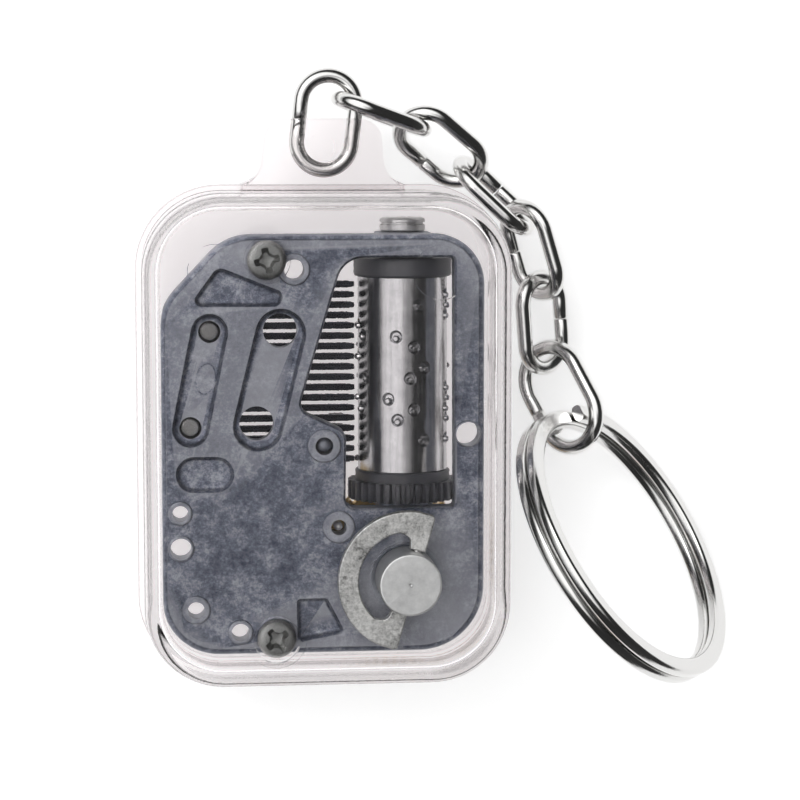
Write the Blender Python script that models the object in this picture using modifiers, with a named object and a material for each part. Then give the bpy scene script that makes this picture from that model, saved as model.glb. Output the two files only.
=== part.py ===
"""Keyring music box: a small cylinder movement in a clear case, with a chain and a split ring.

It lies on its back cover: the origin is the centre of the back cover's outer face, +X to the
right, +Y towards the hanging tab and +Z out of the front. All sizes below are millimetres.
"""

import math

import bmesh
import bpy
from mathutils import Matrix, Vector

MM = 0.001  # one millimetre in metres

# Clear case
CASE_WIDTH = 35.0
CASE_HEIGHT = 47.0
CASE_DEPTH = 18.0
CASE_CORNER = 7.6
CASE_WALL = 1.3
CASE_EDGE = 1.1  # rounding of the outer edges, front and back
PARTING_Z = 9.0
PARTING_GAP = 0.05  # from the parting plane to each shell
FLANGE_LIP = 0.6  # how far the parting flange stands out
FLANGE_THICK = 0.9

# Hanging tab
TAB_WIDTH = 11.4
TAB_FOOT = 15.8
TAB_TOP = 30.4  # height of its top edge above the case's centre
TAB_CORNER = 1.6
TAB_CHEEK = 1.2
TAB_GAP = 2.2  # slot between the two cheeks
POST_Y = 27.7
POST_RADIUS = 1.25

# Bedplate, in its own frame centred on PLATE_X, PLATE_Y
PLATE_X = -0.42
PLATE_Y = -0.5
PLATE_WIDTH = 30.86
PLATE_HEIGHT = 40.1
PLATE_FRONT_Z = 16.0
PLATE_THICK = 2.2
POCKET_DEPTH = 0.9
BOSS_RISE = 0.3  # how far the round bosses stand out of the front

# Case screws
SCREW_PLACES = ((-5.75, 17.17), (-4.98, -18.93))
SCREW_HEAD_RADIUS = 1.85
SCREW_HEAD_HEIGHT = 1.1
SCREW_SHANK_RADIUS = 0.95
SCREW_BITE = 4.0  # how deep the shank goes into the back shell's boss
SLEEVE_RADIUS = 2.9
COUNTERBORE_DEPTH = 1.4
HEAD_CLEARANCE = 0.35
SCREW_BOSS_RADIUS = 3.0
SCREW_BOSS_FOOT_Z = 7.0  # above this height the boss is a slimmer neck
SCREW_NECK_RADIUS = 2.0
FIT_GAP = 0.08  # between pieces that seat on or in each other

# Drum
DRUM_X = 7.7
DRUM_Z = 10.3
DRUM_RADIUS = 4.35
DRUM_WALL = 0.45
DRUM_TOP_Y = 15.3
DRUM_LENGTH = 18.8
CAP_RADIUS = 4.75
CAP_HEIGHT = 1.9
PLUG_LENGTH = 2.0  # part of each end piece that goes into the sleeve
COLLAR_HEIGHT = 1.0
DRUM_GEAR_TEETH = 34
DRUM_GEAR_WIDTH = 1.85
ARBOR_RADIUS = 0.6
EAR_THICK = 0.85
EAR_HALF_WIDTH = 2.6
EAR_DROP = 5.9  # how far the bearing ears reach down behind the bedplate
BUSH_RADIUS = 2.2
BUSH_HEIGHT = 1.3

# Comb
COMB_TEETH = 18
COMB_PITCH = 1.0
COMB_TOOTH = 0.66
COMB_THICK = 0.5
COMB_TIP_GAP = 0.35  # from the tooth tips to the drum's surface
COMB_TOP_Y = 14.5  # middle of the uppermost tooth
COMB_ROOT_TOP_X = -7.2
COMB_ROOT_BOTTOM_X = -9.3
COMB_BASE_WIDTH = 5.4
COMB_SCREWS = ((-11.14, 10.35), (-12.99, 1.21))
COMB_SCREW_RADIUS = 0.85
COMB_WEIGHTS = 5

# Spring barrel and winding parts
STEM_X = 7.4
STEM_Y = -13.2
BARREL_WHEEL_TEETH = 48
BARREL_WHEEL_Z = 3.45
BARREL_WHEEL_THICK = 1.6
BARREL_RADIUS = 5.6
BARREL_WALL = 0.45
BARREL_BOTTOM_Z = 5.3
BARREL_TOP_Z = 12.4
LID_THICK = 0.5
SPRING_TURNS = 6
SPRING_THICK = 0.2
WIND_ARBOR_RADIUS = 1.2
STEM_RADIUS = 2.95
STEM_TOP_Z = 21.4
STEM_HOLE_GAP = 0.5  # between the stem and the hole in the front shell
RATCHET_TEETH = 12
RATCHET_RADIUS = 2.4
RATCHET_THICK = 0.5

# Folding key
KEY_OUTER_RADIUS = 6.7
KEY_INNER_RADIUS = 4.75
KEY_THICK = 1.0
KEY_CHORD = 0.75  # half-width of each arm beside the pivot line
KEY_ARM_GAP = 0.12
KEY_LIFT = 0.45  # from the front shell to the folded key
KEY_TILT = math.radians(73.7)  # direction of the pivot line, from +X
PIVOT_RADIUS = 0.35
PIVOT_DEPTH = 0.8

# Governor
GOVERNOR_X = 1.01
GOVERNOR_Y = -8.36
PINION_LEAVES = 6
WORM_WHEEL_TEETH = 30
WORM_WHEEL_RADIUS = 2.35
WORM_WHEEL_Z = 8.1
WORM_WHEEL_THICK = 0.8
WORM_RADIUS = 0.55
WORM_GAP = 0.05
WORM_PIVOT_RADIUS = 0.25
FLY_RADIUS = 2.5
FLY_THICK = 0.35
GOVERNOR_ARBOR_RADIUS = 0.4
COCK_THICK = 0.8
COCK_Z = 2.2
COCK_POST = (-4.2, -5.2)
COCK_POST_RADIUS = 1.0
BRACKET_THICK = 1.7
BRACKET_SCREWS = ((-8.2, -7.6), (-4.4, -8.0))

# Chain and split ring: the places where each piece hangs in the one before it
CHAIN_PLACES = (
    (2.24, 32.13, 9.41),
    (9.49, 29.57, 7.57),
    (14.23, 25.72, 6.08),
    (20.26, 20.0, 6.63),
    (21.84, 14.9, 6.14),
    (22.67, 5.55, 5.35),
    (24.95, 0.68, 7.9),
)
LINK_WIRE = 1.5
LINK_LENGTH = 10.6
LINK_WIDTH = 6.8
JUMP_LENGTH = 12.1
JUMP_WIDTH = 8.3
JUMP_SHIFT = 0.32  # how far the jump link sits towards the ring, which is thicker than a link
RING_CENTRE = (28.95, -10.6, 14.9)
RING_RADIUS = 13.75  # middle of the wire
RING_WIRE_WIDE = 1.75
RING_WIRE_THICK = 1.2
RING_COIL_GAP = 0.12
RING_TILT = math.radians(-62.0)
RING_MAJOR_ANGLE = math.radians(-52.6)  # direction of the level diameter, from +X

CLEAR = ("clear_plastic", (0.93, 0.95, 0.96), 0.0, 0.08)
ZINC = ("cast_zinc", (0.33, 0.37, 0.43), 0.7, 0.5)
NICKEL = ("nickel_plate", (0.66, 0.65, 0.63), 1.0, 0.2)
STEEL = ("polished_steel", (0.6, 0.6, 0.6), 1.0, 0.25)
COMB_STEEL = ("comb_steel", (0.2, 0.21, 0.23), 0.9, 0.4)
BRASS = ("brass", (0.7, 0.52, 0.25), 1.0, 0.3)
DARK_PLASTIC = ("dark_plastic", (0.05, 0.055, 0.06), 0.0, 0.4)
LEAD = ("lead", (0.25, 0.25, 0.27), 0.6, 0.6)
SPRING_STEEL = ("spring_steel", (0.3, 0.33, 0.4), 1.0, 0.3)

for leftover in list(bpy.data.objects):
    bpy.data.objects.remove(leftover)

parts = bpy.data.collections.new("keyring_music_box")
cutters = bpy.data.collections.new("cutters")
bpy.context.scene.collection.children.link(parts)
bpy.context.scene.collection.children.link(cutters)


# ---- helpers -------------------------------------------------------------------------------

def material(kind):
    """The Principled material of one of the finishes above, made once."""
    name, colour, metallic, roughness = kind
    found = bpy.data.materials.get(name)
    if found:
        return found
    made = bpy.data.materials.new(name)
    made.use_nodes = True
    shader = made.node_tree.nodes["Principled BSDF"]
    shader.inputs["Base Color"].default_value = (*colour, 1.0)
    shader.inputs["Metallic"].default_value = metallic
    shader.inputs["Roughness"].default_value = roughness
    return made


def add_object(name, mesh, kind, place=Matrix.Identity(4)):
    """One part object in the parts collection."""
    made = bpy.data.objects.new(name, mesh)
    made.matrix_world = place
    parts.objects.link(made)
    mesh.materials.clear()
    mesh.materials.append(material(kind))
    return made


def arc(centre, radius, start, end, steps):
    """Points on an arc, angles in degrees."""
    turn = [math.radians(start + (end - start) * i / steps) for i in range(steps + 1)]
    return [(centre[0] + radius * math.cos(t), centre[1] + radius * math.sin(t)) for t in turn]


def circle(centre, radius, steps=32):
    return arc(centre, radius, 0, 360, steps)[:-1]


def rounded(corners, steps=6):
    """A closed outline from (x, y, radius) corners."""
    points = []
    count = len(corners)
    for i, (x, y, radius) in enumerate(corners):
        here = Vector((x, y))
        to_last = (Vector(corners[i - 1][:2]) - here).normalized()
        to_next = (Vector(corners[(i + 1) % count][:2]) - here).normalized()
        half = math.acos(max(-1.0, min(1.0, to_last.dot(to_next)))) / 2
        if radius <= 0 or half < 0.01:
            points.append((x, y))
            continue
        middle = here + (to_last + to_next).normalized() * (radius / math.sin(half))
        first = here + to_last * (radius / math.tan(half)) - middle
        last = here + to_next * (radius / math.tan(half)) - middle
        sweep = first.angle_signed(last)
        for k in range(steps + 1):
            turned = Vector(first)
            turned.rotate(Matrix.Rotation(-sweep * k / steps, 2))
            points.append(tuple(middle + turned))
    return points


def box_outline(x0, x1, y0, y1, radius=0.0, steps=6):
    return rounded([(x0, y0, radius), (x1, y0, radius), (x1, y1, radius), (x0, y1, radius)], steps)


def stadium(first, second, radius, steps=10):
    """The outline of a slot with round ends."""
    direction = math.degrees(math.atan2(second[1] - first[1], second[0] - first[0]))
    return (arc(second, radius, direction - 90, direction + 90, steps)
            + arc(first, radius, direction + 90, direction + 270, steps))


def solid_mesh(guide, name, lift=0.0):
    """Turns a guide object into one closed mesh, and removes the guide."""
    parts.objects.link(guide)
    bpy.context.view_layer.update()
    depsgraph = bpy.context.evaluated_depsgraph_get()
    mesh = bpy.data.meshes.new_from_object(guide.evaluated_get(depsgraph))
    bpy.data.objects.remove(guide)
    shape = bmesh.new()
    shape.from_mesh(mesh)
    bmesh.ops.remove_doubles(shape, verts=shape.verts, dist=1e-7)
    bmesh.ops.translate(shape, verts=shape.verts, vec=(0, 0, lift * MM))
    bmesh.ops.recalc_face_normals(shape, faces=shape.faces)
    shape.to_mesh(mesh)
    shape.free()
    mesh.name = name
    return mesh


def flat_mesh(name, outlines, low, high):
    """A flat piece: closed outlines (the inner ones are holes) filled and extruded in Z."""
    curve = bpy.data.curves.new(name, "CURVE")
    curve.dimensions = "2D"
    curve.fill_mode = "BOTH"
    curve.extrude = (high - low) / 2 * MM
    for outline in outlines:
        spline = curve.splines.new("POLY")
        spline.points.add(len(outline) - 1)
        for point, (x, y) in zip(spline.points, outline):
            point.co = (x * MM, y * MM, 0, 1)
        spline.use_cyclic_u = True
    return solid_mesh(bpy.data.objects.new(name, curve), name, (low + high) / 2)


def flat(name, outlines, low, high, kind, place=Matrix.Identity(4)):
    return add_object(name, flat_mesh(name, outlines, low, high), kind, place)


def turned_mesh(name, profile, steps=32, closed=False):
    """A turned piece about Z: (radius, height) points run from top to bottom on the outside."""
    mesh = bpy.data.meshes.new(name)
    edges = [(i, i + 1) for i in range(len(profile) - 1)]
    if closed:
        edges.append((len(profile) - 1, 0))
    mesh.from_pydata([(r * MM, 0, z * MM) for r, z in profile], edges, [])
    guide = bpy.data.objects.new(name, mesh)
    screw = guide.modifiers.new("turn", "SCREW")
    screw.steps = steps
    screw.render_steps = steps
    screw.use_merge_vertices = True
    screw.merge_threshold = 1e-7
    return solid_mesh(guide, name)


def turned(name, profile, kind, place=Matrix.Identity(4), steps=32, closed=False):
    return add_object(name, turned_mesh(name, profile, steps, closed), kind, place)


def at(x, y, z=0.0):
    return Matrix.Translation(Vector((x, y, z)) * MM)


def along_y(x, y, z):
    """A frame whose own Z runs along +Y."""
    return at(x, y, z) @ Matrix.Rotation(math.radians(-90), 4, "X")


def along_x(x, y, z):
    """A frame whose own Z runs along +X."""
    return at(x, y, z) @ Matrix.Rotation(math.radians(90), 4, "Y")


def boolean(target, operation, name, mesh, place=Matrix.Identity(4)):
    """Joins a mesh to a part, or cuts it, and keeps the result."""
    tool = bpy.data.objects.new(name, mesh)
    tool.matrix_world = place
    tool.hide_render = True
    tool.display_type = "WIRE"
    cutters.objects.link(tool)
    modifier = target.modifiers.new(name, "BOOLEAN")
    modifier.operation = operation
    modifier.object = tool
    modifier.solver = "EXACT"
    bpy.context.view_layer.update()
    depsgraph = bpy.context.evaluated_depsgraph_get()
    result = bpy.data.meshes.new_from_object(target.evaluated_get(depsgraph))
    target.modifiers.clear()
    target.data = result
    bpy.data.objects.remove(tool)


def join(target, name, mesh, place=Matrix.Identity(4)):
    boolean(target, "UNION", name, mesh, place)


def cut(target, name, mesh, place=Matrix.Identity(4)):
    boolean(target, "DIFFERENCE", name, mesh, place)


def round_edge(mesh, height, radius, segments=3):
    """Rounds the edges of a mesh that lie at one height."""
    shape = bmesh.new()
    shape.from_mesh(mesh)
    level = height * MM
    edges = [e for e in shape.edges
             if all(abs(v.co.z - level) < 1e-6 for v in e.verts) and abs(e.calc_face_angle(0)) > 0.5]
    bmesh.ops.bevel(shape, geom=edges, offset=radius * MM, segments=segments, profile=0.5,
                    affect="EDGES", clamp_overlap=True)
    shape.to_mesh(mesh)
    shape.free()


def gear_outline(teeth, outer, root, tip_share=0.32, root_share=0.36, start=0.0):
    """A toothed outline with a tooth's middle at the start angle."""
    points = []
    pitch = 2 * math.pi / teeth
    for i in range(teeth):
        middle = start + i * pitch
        for radius, share in ((root, -(1 - root_share) / 2), (outer, -tip_share / 2),
                              (outer, tip_share / 2), (root, (1 - root_share) / 2)):
            angle = middle + pitch * share
            points.append((radius * math.cos(angle), radius * math.sin(angle)))
    return points


def empty(name, place):
    """An empty on a joint's axis."""
    made = bpy.data.objects.new(name, None)
    made.empty_display_size = 2 * MM
    made.matrix_world = place
    parts.objects.link(made)
    return made


def ride(pivot, *pieces):
    """Hangs pieces on a joint's empty without moving them."""
    bpy.context.view_layer.update()
    for piece in pieces:
        place = piece.matrix_world.copy()
        piece.parent = pivot
        piece.matrix_parent_inverse = pivot.matrix_world.inverted()
        piece.matrix_world = place


# ---- clear case ----------------------------------------------------------------------------

TAB_FRONT_Z = PARTING_Z + TAB_GAP / 2 + TAB_CHEEK
TAB_BACK_Z = PARTING_Z - TAB_GAP / 2 - TAB_CHEEK


def case_outline(outset):
    half_w = CASE_WIDTH / 2 + outset
    half_h = CASE_HEIGHT / 2 + outset
    return box_outline(-half_w, half_w, -half_h, half_h, CASE_CORNER + outset, 6)


def tab_outline():
    """The tab's cheek: a square-shouldered tongue that flares into the case's top edge."""
    foot = CASE_HEIGHT / 2 - CASE_WALL / 2
    flare = CASE_HEIGHT / 2 + FLANGE_LIP + 0.3
    half = TAB_WIDTH / 2
    side = (TAB_FOOT - TAB_WIDTH) / 2
    return rounded([(-half - side, foot, 0), (half + side, foot, 0), (half + side, flare - 0.3, 0),
                    (half + 0.3, flare + 0.5, side), (half - 0.2, TAB_TOP, TAB_CORNER),
                    (0.2 - half, TAB_TOP, TAB_CORNER), (-half - 0.3, flare + 0.5, side),
                    (-half - side, flare - 0.3, 0)])


def make_shell(name, outer_z, sign):
    """One half of the case: sign is +1 for the front shell and -1 for the back shell."""
    seam = PARTING_Z + sign * PARTING_GAP / 2
    low, high = sorted((outer_z, seam))
    body = flat_mesh(name, [case_outline(0)], low, high)
    round_edge(body, outer_z, CASE_EDGE)
    shell = add_object(name, body, CLEAR)
    low, high = sorted((seam, seam + sign * FLANGE_THICK))
    join(shell, "flange", flat_mesh("flange", [case_outline(FLANGE_LIP)], low, high))
    inner = outer_z - sign * CASE_WALL
    low, high = sorted((inner, seam - sign))
    cut(shell, "cavity", flat_mesh("cavity", [case_outline(-CASE_WALL)], low, high))
    cheek = TAB_FRONT_Z if sign > 0 else TAB_BACK_Z
    low, high = sorted((cheek, cheek - sign * TAB_CHEEK))
    join(shell, "cheek", flat_mesh("cheek", [tab_outline()], low, high))
    low, high = sorted((seam, cheek - sign * TAB_CHEEK / 2))
    join(shell, "post", flat_mesh("post", [circle((0, POST_Y), POST_RADIUS, 24)], low, high))
    return shell


front_shell = make_shell("front_shell", CASE_DEPTH, 1)
back_shell = make_shell("back_shell", 0.0, -1)

ROOF_Z = CASE_DEPTH - CASE_WALL
PLATE_BACK_Z = PLATE_FRONT_Z - PLATE_THICK
HEAD_SEAT_Z = CASE_DEPTH - COUNTERBORE_DEPTH
for index, place in enumerate(SCREW_PLACES, 1):
    sleeve = flat_mesh("sleeve", [circle(place, SLEEVE_RADIUS)],
                       PLATE_FRONT_Z + BOSS_RISE + FIT_GAP, ROOF_Z + 0.4)
    join(front_shell, "sleeve", sleeve)
    bore = flat_mesh("bore", [circle(place, SCREW_SHANK_RADIUS + FIT_GAP, 20)],
                     PLATE_FRONT_Z - 1, CASE_DEPTH + 1)
    cut(front_shell, "bore", bore)
    counterbore = flat_mesh("counterbore", [circle(place, SCREW_HEAD_RADIUS + HEAD_CLEARANCE)],
                            HEAD_SEAT_Z, CASE_DEPTH + 1)
    cut(front_shell, "counterbore", counterbore)
    boss = flat_mesh("boss", [circle(place, SCREW_BOSS_RADIUS)], CASE_WALL / 2, SCREW_BOSS_FOOT_Z)
    join(back_shell, "boss", boss)
    neck = flat_mesh("neck", [circle(place, SCREW_NECK_RADIUS, 24)], CASE_WALL / 2, PLATE_BACK_Z - FIT_GAP)
    join(back_shell, "neck", neck)
    tip_z = PLATE_BACK_Z - SCREW_BITE
    pilot = flat_mesh("pilot", [circle(place, SCREW_SHANK_RADIUS + FIT_GAP, 20)],
                      tip_z - 0.3, PLATE_BACK_Z + 1)
    cut(back_shell, "pilot", pilot)
    seat = HEAD_SEAT_Z + FIT_GAP
    profile = [(0, seat + 0.55), (0.35, seat + 0.55), (0.75, seat + SCREW_HEAD_HEIGHT),
               (SCREW_HEAD_RADIUS - 0.45, seat + SCREW_HEAD_HEIGHT),
               (SCREW_HEAD_RADIUS, seat + SCREW_HEAD_HEIGHT - 0.45), (SCREW_HEAD_RADIUS, seat),
               (SCREW_SHANK_RADIUS, seat), (SCREW_SHANK_RADIUS, tip_z + 0.5), (0, tip_z)]
    turned(f"case_screw_{index}", profile, NICKEL, at(*place), 20)

stem_hole = flat_mesh("stem_hole", [circle((STEM_X, STEM_Y), STEM_RADIUS + STEM_HOLE_GAP, 40)],
                      ROOF_Z - 1, CASE_DEPTH + 1)
cut(front_shell, "stem_hole", stem_hole)


# ---- bedplate ------------------------------------------------------------------------------

def on_plate(points):
    return [(x + PLATE_X, y + PLATE_Y) for x, y in points]


def plate_outline():
    right = PLATE_WIDTH / 2
    top = PLATE_HEIGHT / 2
    return on_plate(rounded([(-right, -top, 5.5), (right, -top, 6.2), (right, top, 4.8),
                             (-right + 6.35, top, 5.5), (-right, top - 6.76, 5.5)], 7))


def window_outline():
    return on_plate(rounded([(12.5, 17.8, 0.4), (2.0, 17.8, 2.6), (-2.35, 3.4, 1.2), (2.19, 1.3, 1.3),
                             (2.1, -6.1, 1.0), (12.6, -6.1, 0.4)]))


BARREL_CLEARANCE = 0.25
ARBOR_HOLE = WIND_ARBOR_RADIUS + FIT_GAP
GOVERNOR_BOSS = (GOVERNOR_X - PLATE_X, GOVERNOR_Y - PLATE_Y)
# (x, y, boss radius, hole radius), in the bedplate's own frame
BOSSES = ((0.07, -0.04, 1.6, 0.85), (*GOVERNOR_BOSS, 1.55, 0.75), (-13.62, -6.33, 1.15, 0.75),
          (-13.58, -9.7, 1.25, 1.0), (-12.19, -15.63, 1.35, 0.8), (-8.0, -17.86, 1.2, 0.85),
          (-2.72, 16.74, 1.5, 0.95), (13.83, 0.94, 1.3, 1.15))
COMB_SLOT = ((-10.72, 10.85), (-12.57, 1.71))
VIEW_SLOT = ((-4.0, 10.65), (-6.19, 1.9))
VIEW_HOLES = ((-4.02, 10.94), (-6.31, 2.1))
VIEW_HOLE_RADIUS = 1.62
POCKETS = (
    on_plate(stadium(*COMB_SLOT, 1.7)),
    on_plate(stadium(*VIEW_SLOT, 2.35)),
    on_plate(stadium((-12.3, -2.67), (-10.2, -2.67), 1.65)),
    on_plate(rounded([(-12.6, 13.3, 0.6), (-9.9, 17.0, 0.9), (-3.6, 14.5, 0.7), (-4.2, 13.3, 0.7)])),
    on_plate(rounded([(-2.57, -14.8, 0.4), (0.29, -14.8, 0.4), (2.0, -18.1, 0.4), (-2.48, -18.9, 0.4)])),
)

bedplate = flat("bedplate", [plate_outline(), window_outline()], PLATE_BACK_Z, PLATE_FRONT_Z, ZINC)
for x, y, boss_radius, hole_radius in BOSSES:
    boss = flat_mesh("boss", [circle((x + PLATE_X, y + PLATE_Y), boss_radius, 24)],
                     PLATE_FRONT_Z - 0.5, PLATE_FRONT_Z + BOSS_RISE)
    join(bedplate, "boss", boss)
ear_z = PLATE_BACK_Z - EAR_DROP
TOP_EAR_Y = DRUM_TOP_Y + CAP_HEIGHT + 2 * FIT_GAP
BOTTOM_EAR_Y = DRUM_TOP_Y - DRUM_LENGTH - COLLAR_HEIGHT - DRUM_GEAR_WIDTH - FIT_GAP
PLATE_TOP_Y = PLATE_Y + PLATE_HEIGHT / 2
for low_y, high_y in ((TOP_EAR_Y, PLATE_TOP_Y - 0.02), (BOTTOM_EAR_Y - EAR_THICK, BOTTOM_EAR_Y)):
    outline = box_outline(DRUM_X - EAR_HALF_WIDTH, DRUM_X + EAR_HALF_WIDTH, low_y, high_y)
    join(bedplate, "ear", flat_mesh("ear", [outline], ear_z, PLATE_BACK_Z + 0.5))
    hole = flat_mesh("hole", [circle((0, 0), ARBOR_RADIUS + FIT_GAP, 20)], -1, high_y - low_y + 1)
    cut(bedplate, "arbor_hole", hole, along_y(DRUM_X, low_y, DRUM_Z))
COMB_TOP_Z = DRUM_Z + COMB_THICK / 2


def comb_root(y):
    """X of the comb's root line at one height."""
    bottom = COMB_TOP_Y - (COMB_TEETH - 1) * COMB_PITCH
    share = (COMB_TOP_Y - y) / (COMB_TOP_Y - bottom)
    return COMB_ROOT_TOP_X + (COMB_ROOT_BOTTOM_X - COMB_ROOT_TOP_X) * share


COMB_LOW_Y = COMB_TOP_Y - (COMB_TEETH - 1) * COMB_PITCH - COMB_TOOTH / 2
COMB_HIGH_Y = COMB_TOP_Y + COMB_TOOTH / 2
PLATE_LEFT_X = PLATE_X - PLATE_WIDTH / 2
SEAT_MARGIN = 0.7  # bare comb between the seat and the tooth roots
seat_outline = [(PLATE_LEFT_X + 0.3, COMB_LOW_Y + 0.3), (comb_root(COMB_LOW_Y) - SEAT_MARGIN, COMB_LOW_Y + 0.3),
                (comb_root(COMB_HIGH_Y) - SEAT_MARGIN, COMB_HIGH_Y - 0.3),
                (PLATE_LEFT_X + 4.0, COMB_HIGH_Y - 0.3), (PLATE_LEFT_X + 0.3, COMB_SCREWS[0][1] + 1.6)]
join(bedplate, "comb_seat", flat_mesh("comb_seat", [seat_outline], COMB_TOP_Z + FIT_GAP, PLATE_BACK_Z + 0.5))
for outline in POCKETS:
    cut(bedplate, "pocket", flat_mesh("pocket", [outline], PLATE_FRONT_Z - POCKET_DEPTH, PLATE_FRONT_Z + 1))
through = [circle((x + PLATE_X, y + PLATE_Y), r, 24) for x, y, _, r in BOSSES]
through += [circle((x + PLATE_X, y + PLATE_Y), VIEW_HOLE_RADIUS, 24) for x, y in VIEW_HOLES]
through += [circle(place, COMB_SCREW_RADIUS + FIT_GAP, 20) for place in COMB_SCREWS]
through += [circle(place, SCREW_SHANK_RADIUS + 2 * FIT_GAP, 20) for place in SCREW_PLACES]
through += [circle((STEM_X, STEM_Y), ARBOR_HOLE, 24)]
for outline in through:
    cut(bedplate, "through", flat_mesh("through", [outline], COMB_TOP_Z - 1, PLATE_FRONT_Z + 1))
BLIND_DEPTH = 1.4
BRACKET_SHANK = 0.5
for place in (*BRACKET_SCREWS, COCK_POST):
    blind = flat_mesh("blind", [circle(place, BRACKET_SHANK + FIT_GAP, 16)],
                      PLATE_BACK_Z - 1, PLATE_BACK_Z + BLIND_DEPTH)
    cut(bedplate, "blind", blind)

# ---- comb ----------------------------------------------------------------------------------

COMB_TIP_X = DRUM_X - DRUM_RADIUS - COMB_TIP_GAP
outline = [(comb_root(COMB_LOW_Y) - COMB_BASE_WIDTH, COMB_LOW_Y)]
for i in reversed(range(COMB_TEETH)):
    middle = COMB_TOP_Y - i * COMB_PITCH
    for y, x in ((middle - COMB_TOOTH / 2, comb_root(middle)), (middle - COMB_TOOTH / 2, COMB_TIP_X),
                 (middle + COMB_TOOTH / 2, COMB_TIP_X), (middle + COMB_TOOTH / 2, comb_root(middle))):
        if i == COMB_TEETH - 1 and y < middle and x != COMB_TIP_X:
            continue
        outline.append((x, y))
del outline[-1]
outline += [(comb_root(COMB_HIGH_Y) - COMB_BASE_WIDTH + 1.5, COMB_HIGH_Y),
            (comb_root(COMB_SCREWS[0][1]) - COMB_BASE_WIDTH, COMB_SCREWS[0][1] + 1.6)]
comb_holes = [circle(place, COMB_SCREW_RADIUS + FIT_GAP, 20) for place in COMB_SCREWS]
comb_low_z = DRUM_Z - COMB_THICK / 2
comb = flat("comb", [outline, *comb_holes], comb_low_z, COMB_TOP_Z, COMB_STEEL)
for index, place in enumerate(COMB_SCREWS, 1):
    top = PLATE_FRONT_Z - POCKET_DEPTH - 0.2
    head = comb_low_z - FIT_GAP
    profile = [(0, top), (COMB_SCREW_RADIUS - 0.15, top), (COMB_SCREW_RADIUS, top - 0.15),
               (COMB_SCREW_RADIUS, head), (COMB_SCREW_RADIUS + 0.75, head),
               (COMB_SCREW_RADIUS + 0.75, head - 0.5), (COMB_SCREW_RADIUS + 0.4, head - 0.8), (0, head - 0.8)]
    turned(f"comb_screw_{index}", profile, NICKEL, at(*place), 20)
for i in range(COMB_WEIGHTS):
    middle = COMB_TOP_Y - (COMB_TEETH - 1 - i) * COMB_PITCH
    length = 3.0 - 0.4 * i
    weight = box_outline(COMB_TIP_X - 1.0 - length, COMB_TIP_X - 1.0, middle - 0.27, middle + 0.27)
    low_z = comb_low_z - FIT_GAP / 2 - 1.5
    flat(f"comb_weight_{i + 1}", [weight], low_z, comb_low_z - FIT_GAP / 2, LEAD)

# ---- drum ----------------------------------------------------------------------------------

DRUM_BOTTOM_Y = DRUM_TOP_Y - DRUM_LENGTH
MODULE = 2 * math.hypot(STEM_X - GOVERNOR_X, STEM_Y - GOVERNOR_Y) / (BARREL_WHEEL_TEETH + PINION_LEAVES)
TOOTH_RISE = 0.9 * MODULE
TOOTH_FALL = 1.15 * MODULE
bore = ARBOR_RADIUS + FIT_GAP / 4
inside = DRUM_RADIUS - DRUM_WALL
drum_sleeve = turned("drum_sleeve", [(inside, DRUM_LENGTH), (DRUM_RADIUS, DRUM_LENGTH), (DRUM_RADIUS, 0),
                                     (inside, 0)], STEEL, along_y(DRUM_X, DRUM_BOTTOM_Y, DRUM_Z), 36, True)
plug = inside - FIT_GAP / 4
cap_profile = [(bore, CAP_HEIGHT), (CAP_RADIUS - 0.3, CAP_HEIGHT), (CAP_RADIUS, CAP_HEIGHT - 0.3),
               (CAP_RADIUS, FIT_GAP / 4), (plug, FIT_GAP / 4), (plug, -PLUG_LENGTH), (bore, -PLUG_LENGTH)]
drum_cap = turned("drum_cap", cap_profile, DARK_PLASTIC, along_y(DRUM_X, DRUM_TOP_Y, DRUM_Z), 36, True)
gear_pitch_radius = DRUM_GEAR_TEETH * MODULE / 2
gear_top = DRUM_BOTTOM_Y - COLLAR_HEIGHT
GEAR_TURN = math.pi / 2  # a tooth at the contact, on the drum gear's low side
gear_teeth = gear_outline(DRUM_GEAR_TEETH, gear_pitch_radius + TOOTH_RISE, gear_pitch_radius - TOOTH_FALL,
                          start=GEAR_TURN)
drum_gear = flat("drum_gear", [gear_teeth, circle((0, 0), bore, 20)], 0, DRUM_GEAR_WIDTH, DARK_PLASTIC,
                 along_y(DRUM_X, gear_top - DRUM_GEAR_WIDTH, DRUM_Z))
collar = turned_mesh("collar", [(bore, COLLAR_HEIGHT + PLUG_LENGTH), (plug, COLLAR_HEIGHT + PLUG_LENGTH),
                                (plug, COLLAR_HEIGHT - FIT_GAP / 4),
                                (DRUM_RADIUS + 0.25, COLLAR_HEIGHT - FIT_GAP / 4),
                                (DRUM_RADIUS + 0.25, -0.3), (bore, -0.3)], 36, True)
join(drum_gear, "collar", collar, along_y(DRUM_X, gear_top, DRUM_Z))
arbor_low = BOTTOM_EAR_Y - EAR_THICK
arbor_length = PLATE_TOP_Y + BUSH_HEIGHT * 0.4 - arbor_low
drum_arbor = turned("drum_arbor", [(0, arbor_length), (ARBOR_RADIUS - 0.1, arbor_length),
                                   (ARBOR_RADIUS, arbor_length - 0.1), (ARBOR_RADIUS, 0.1),
                                   (ARBOR_RADIUS - 0.1, 0), (0, 0)],
                    STEEL, along_y(DRUM_X, arbor_low, DRUM_Z), 16)
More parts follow.
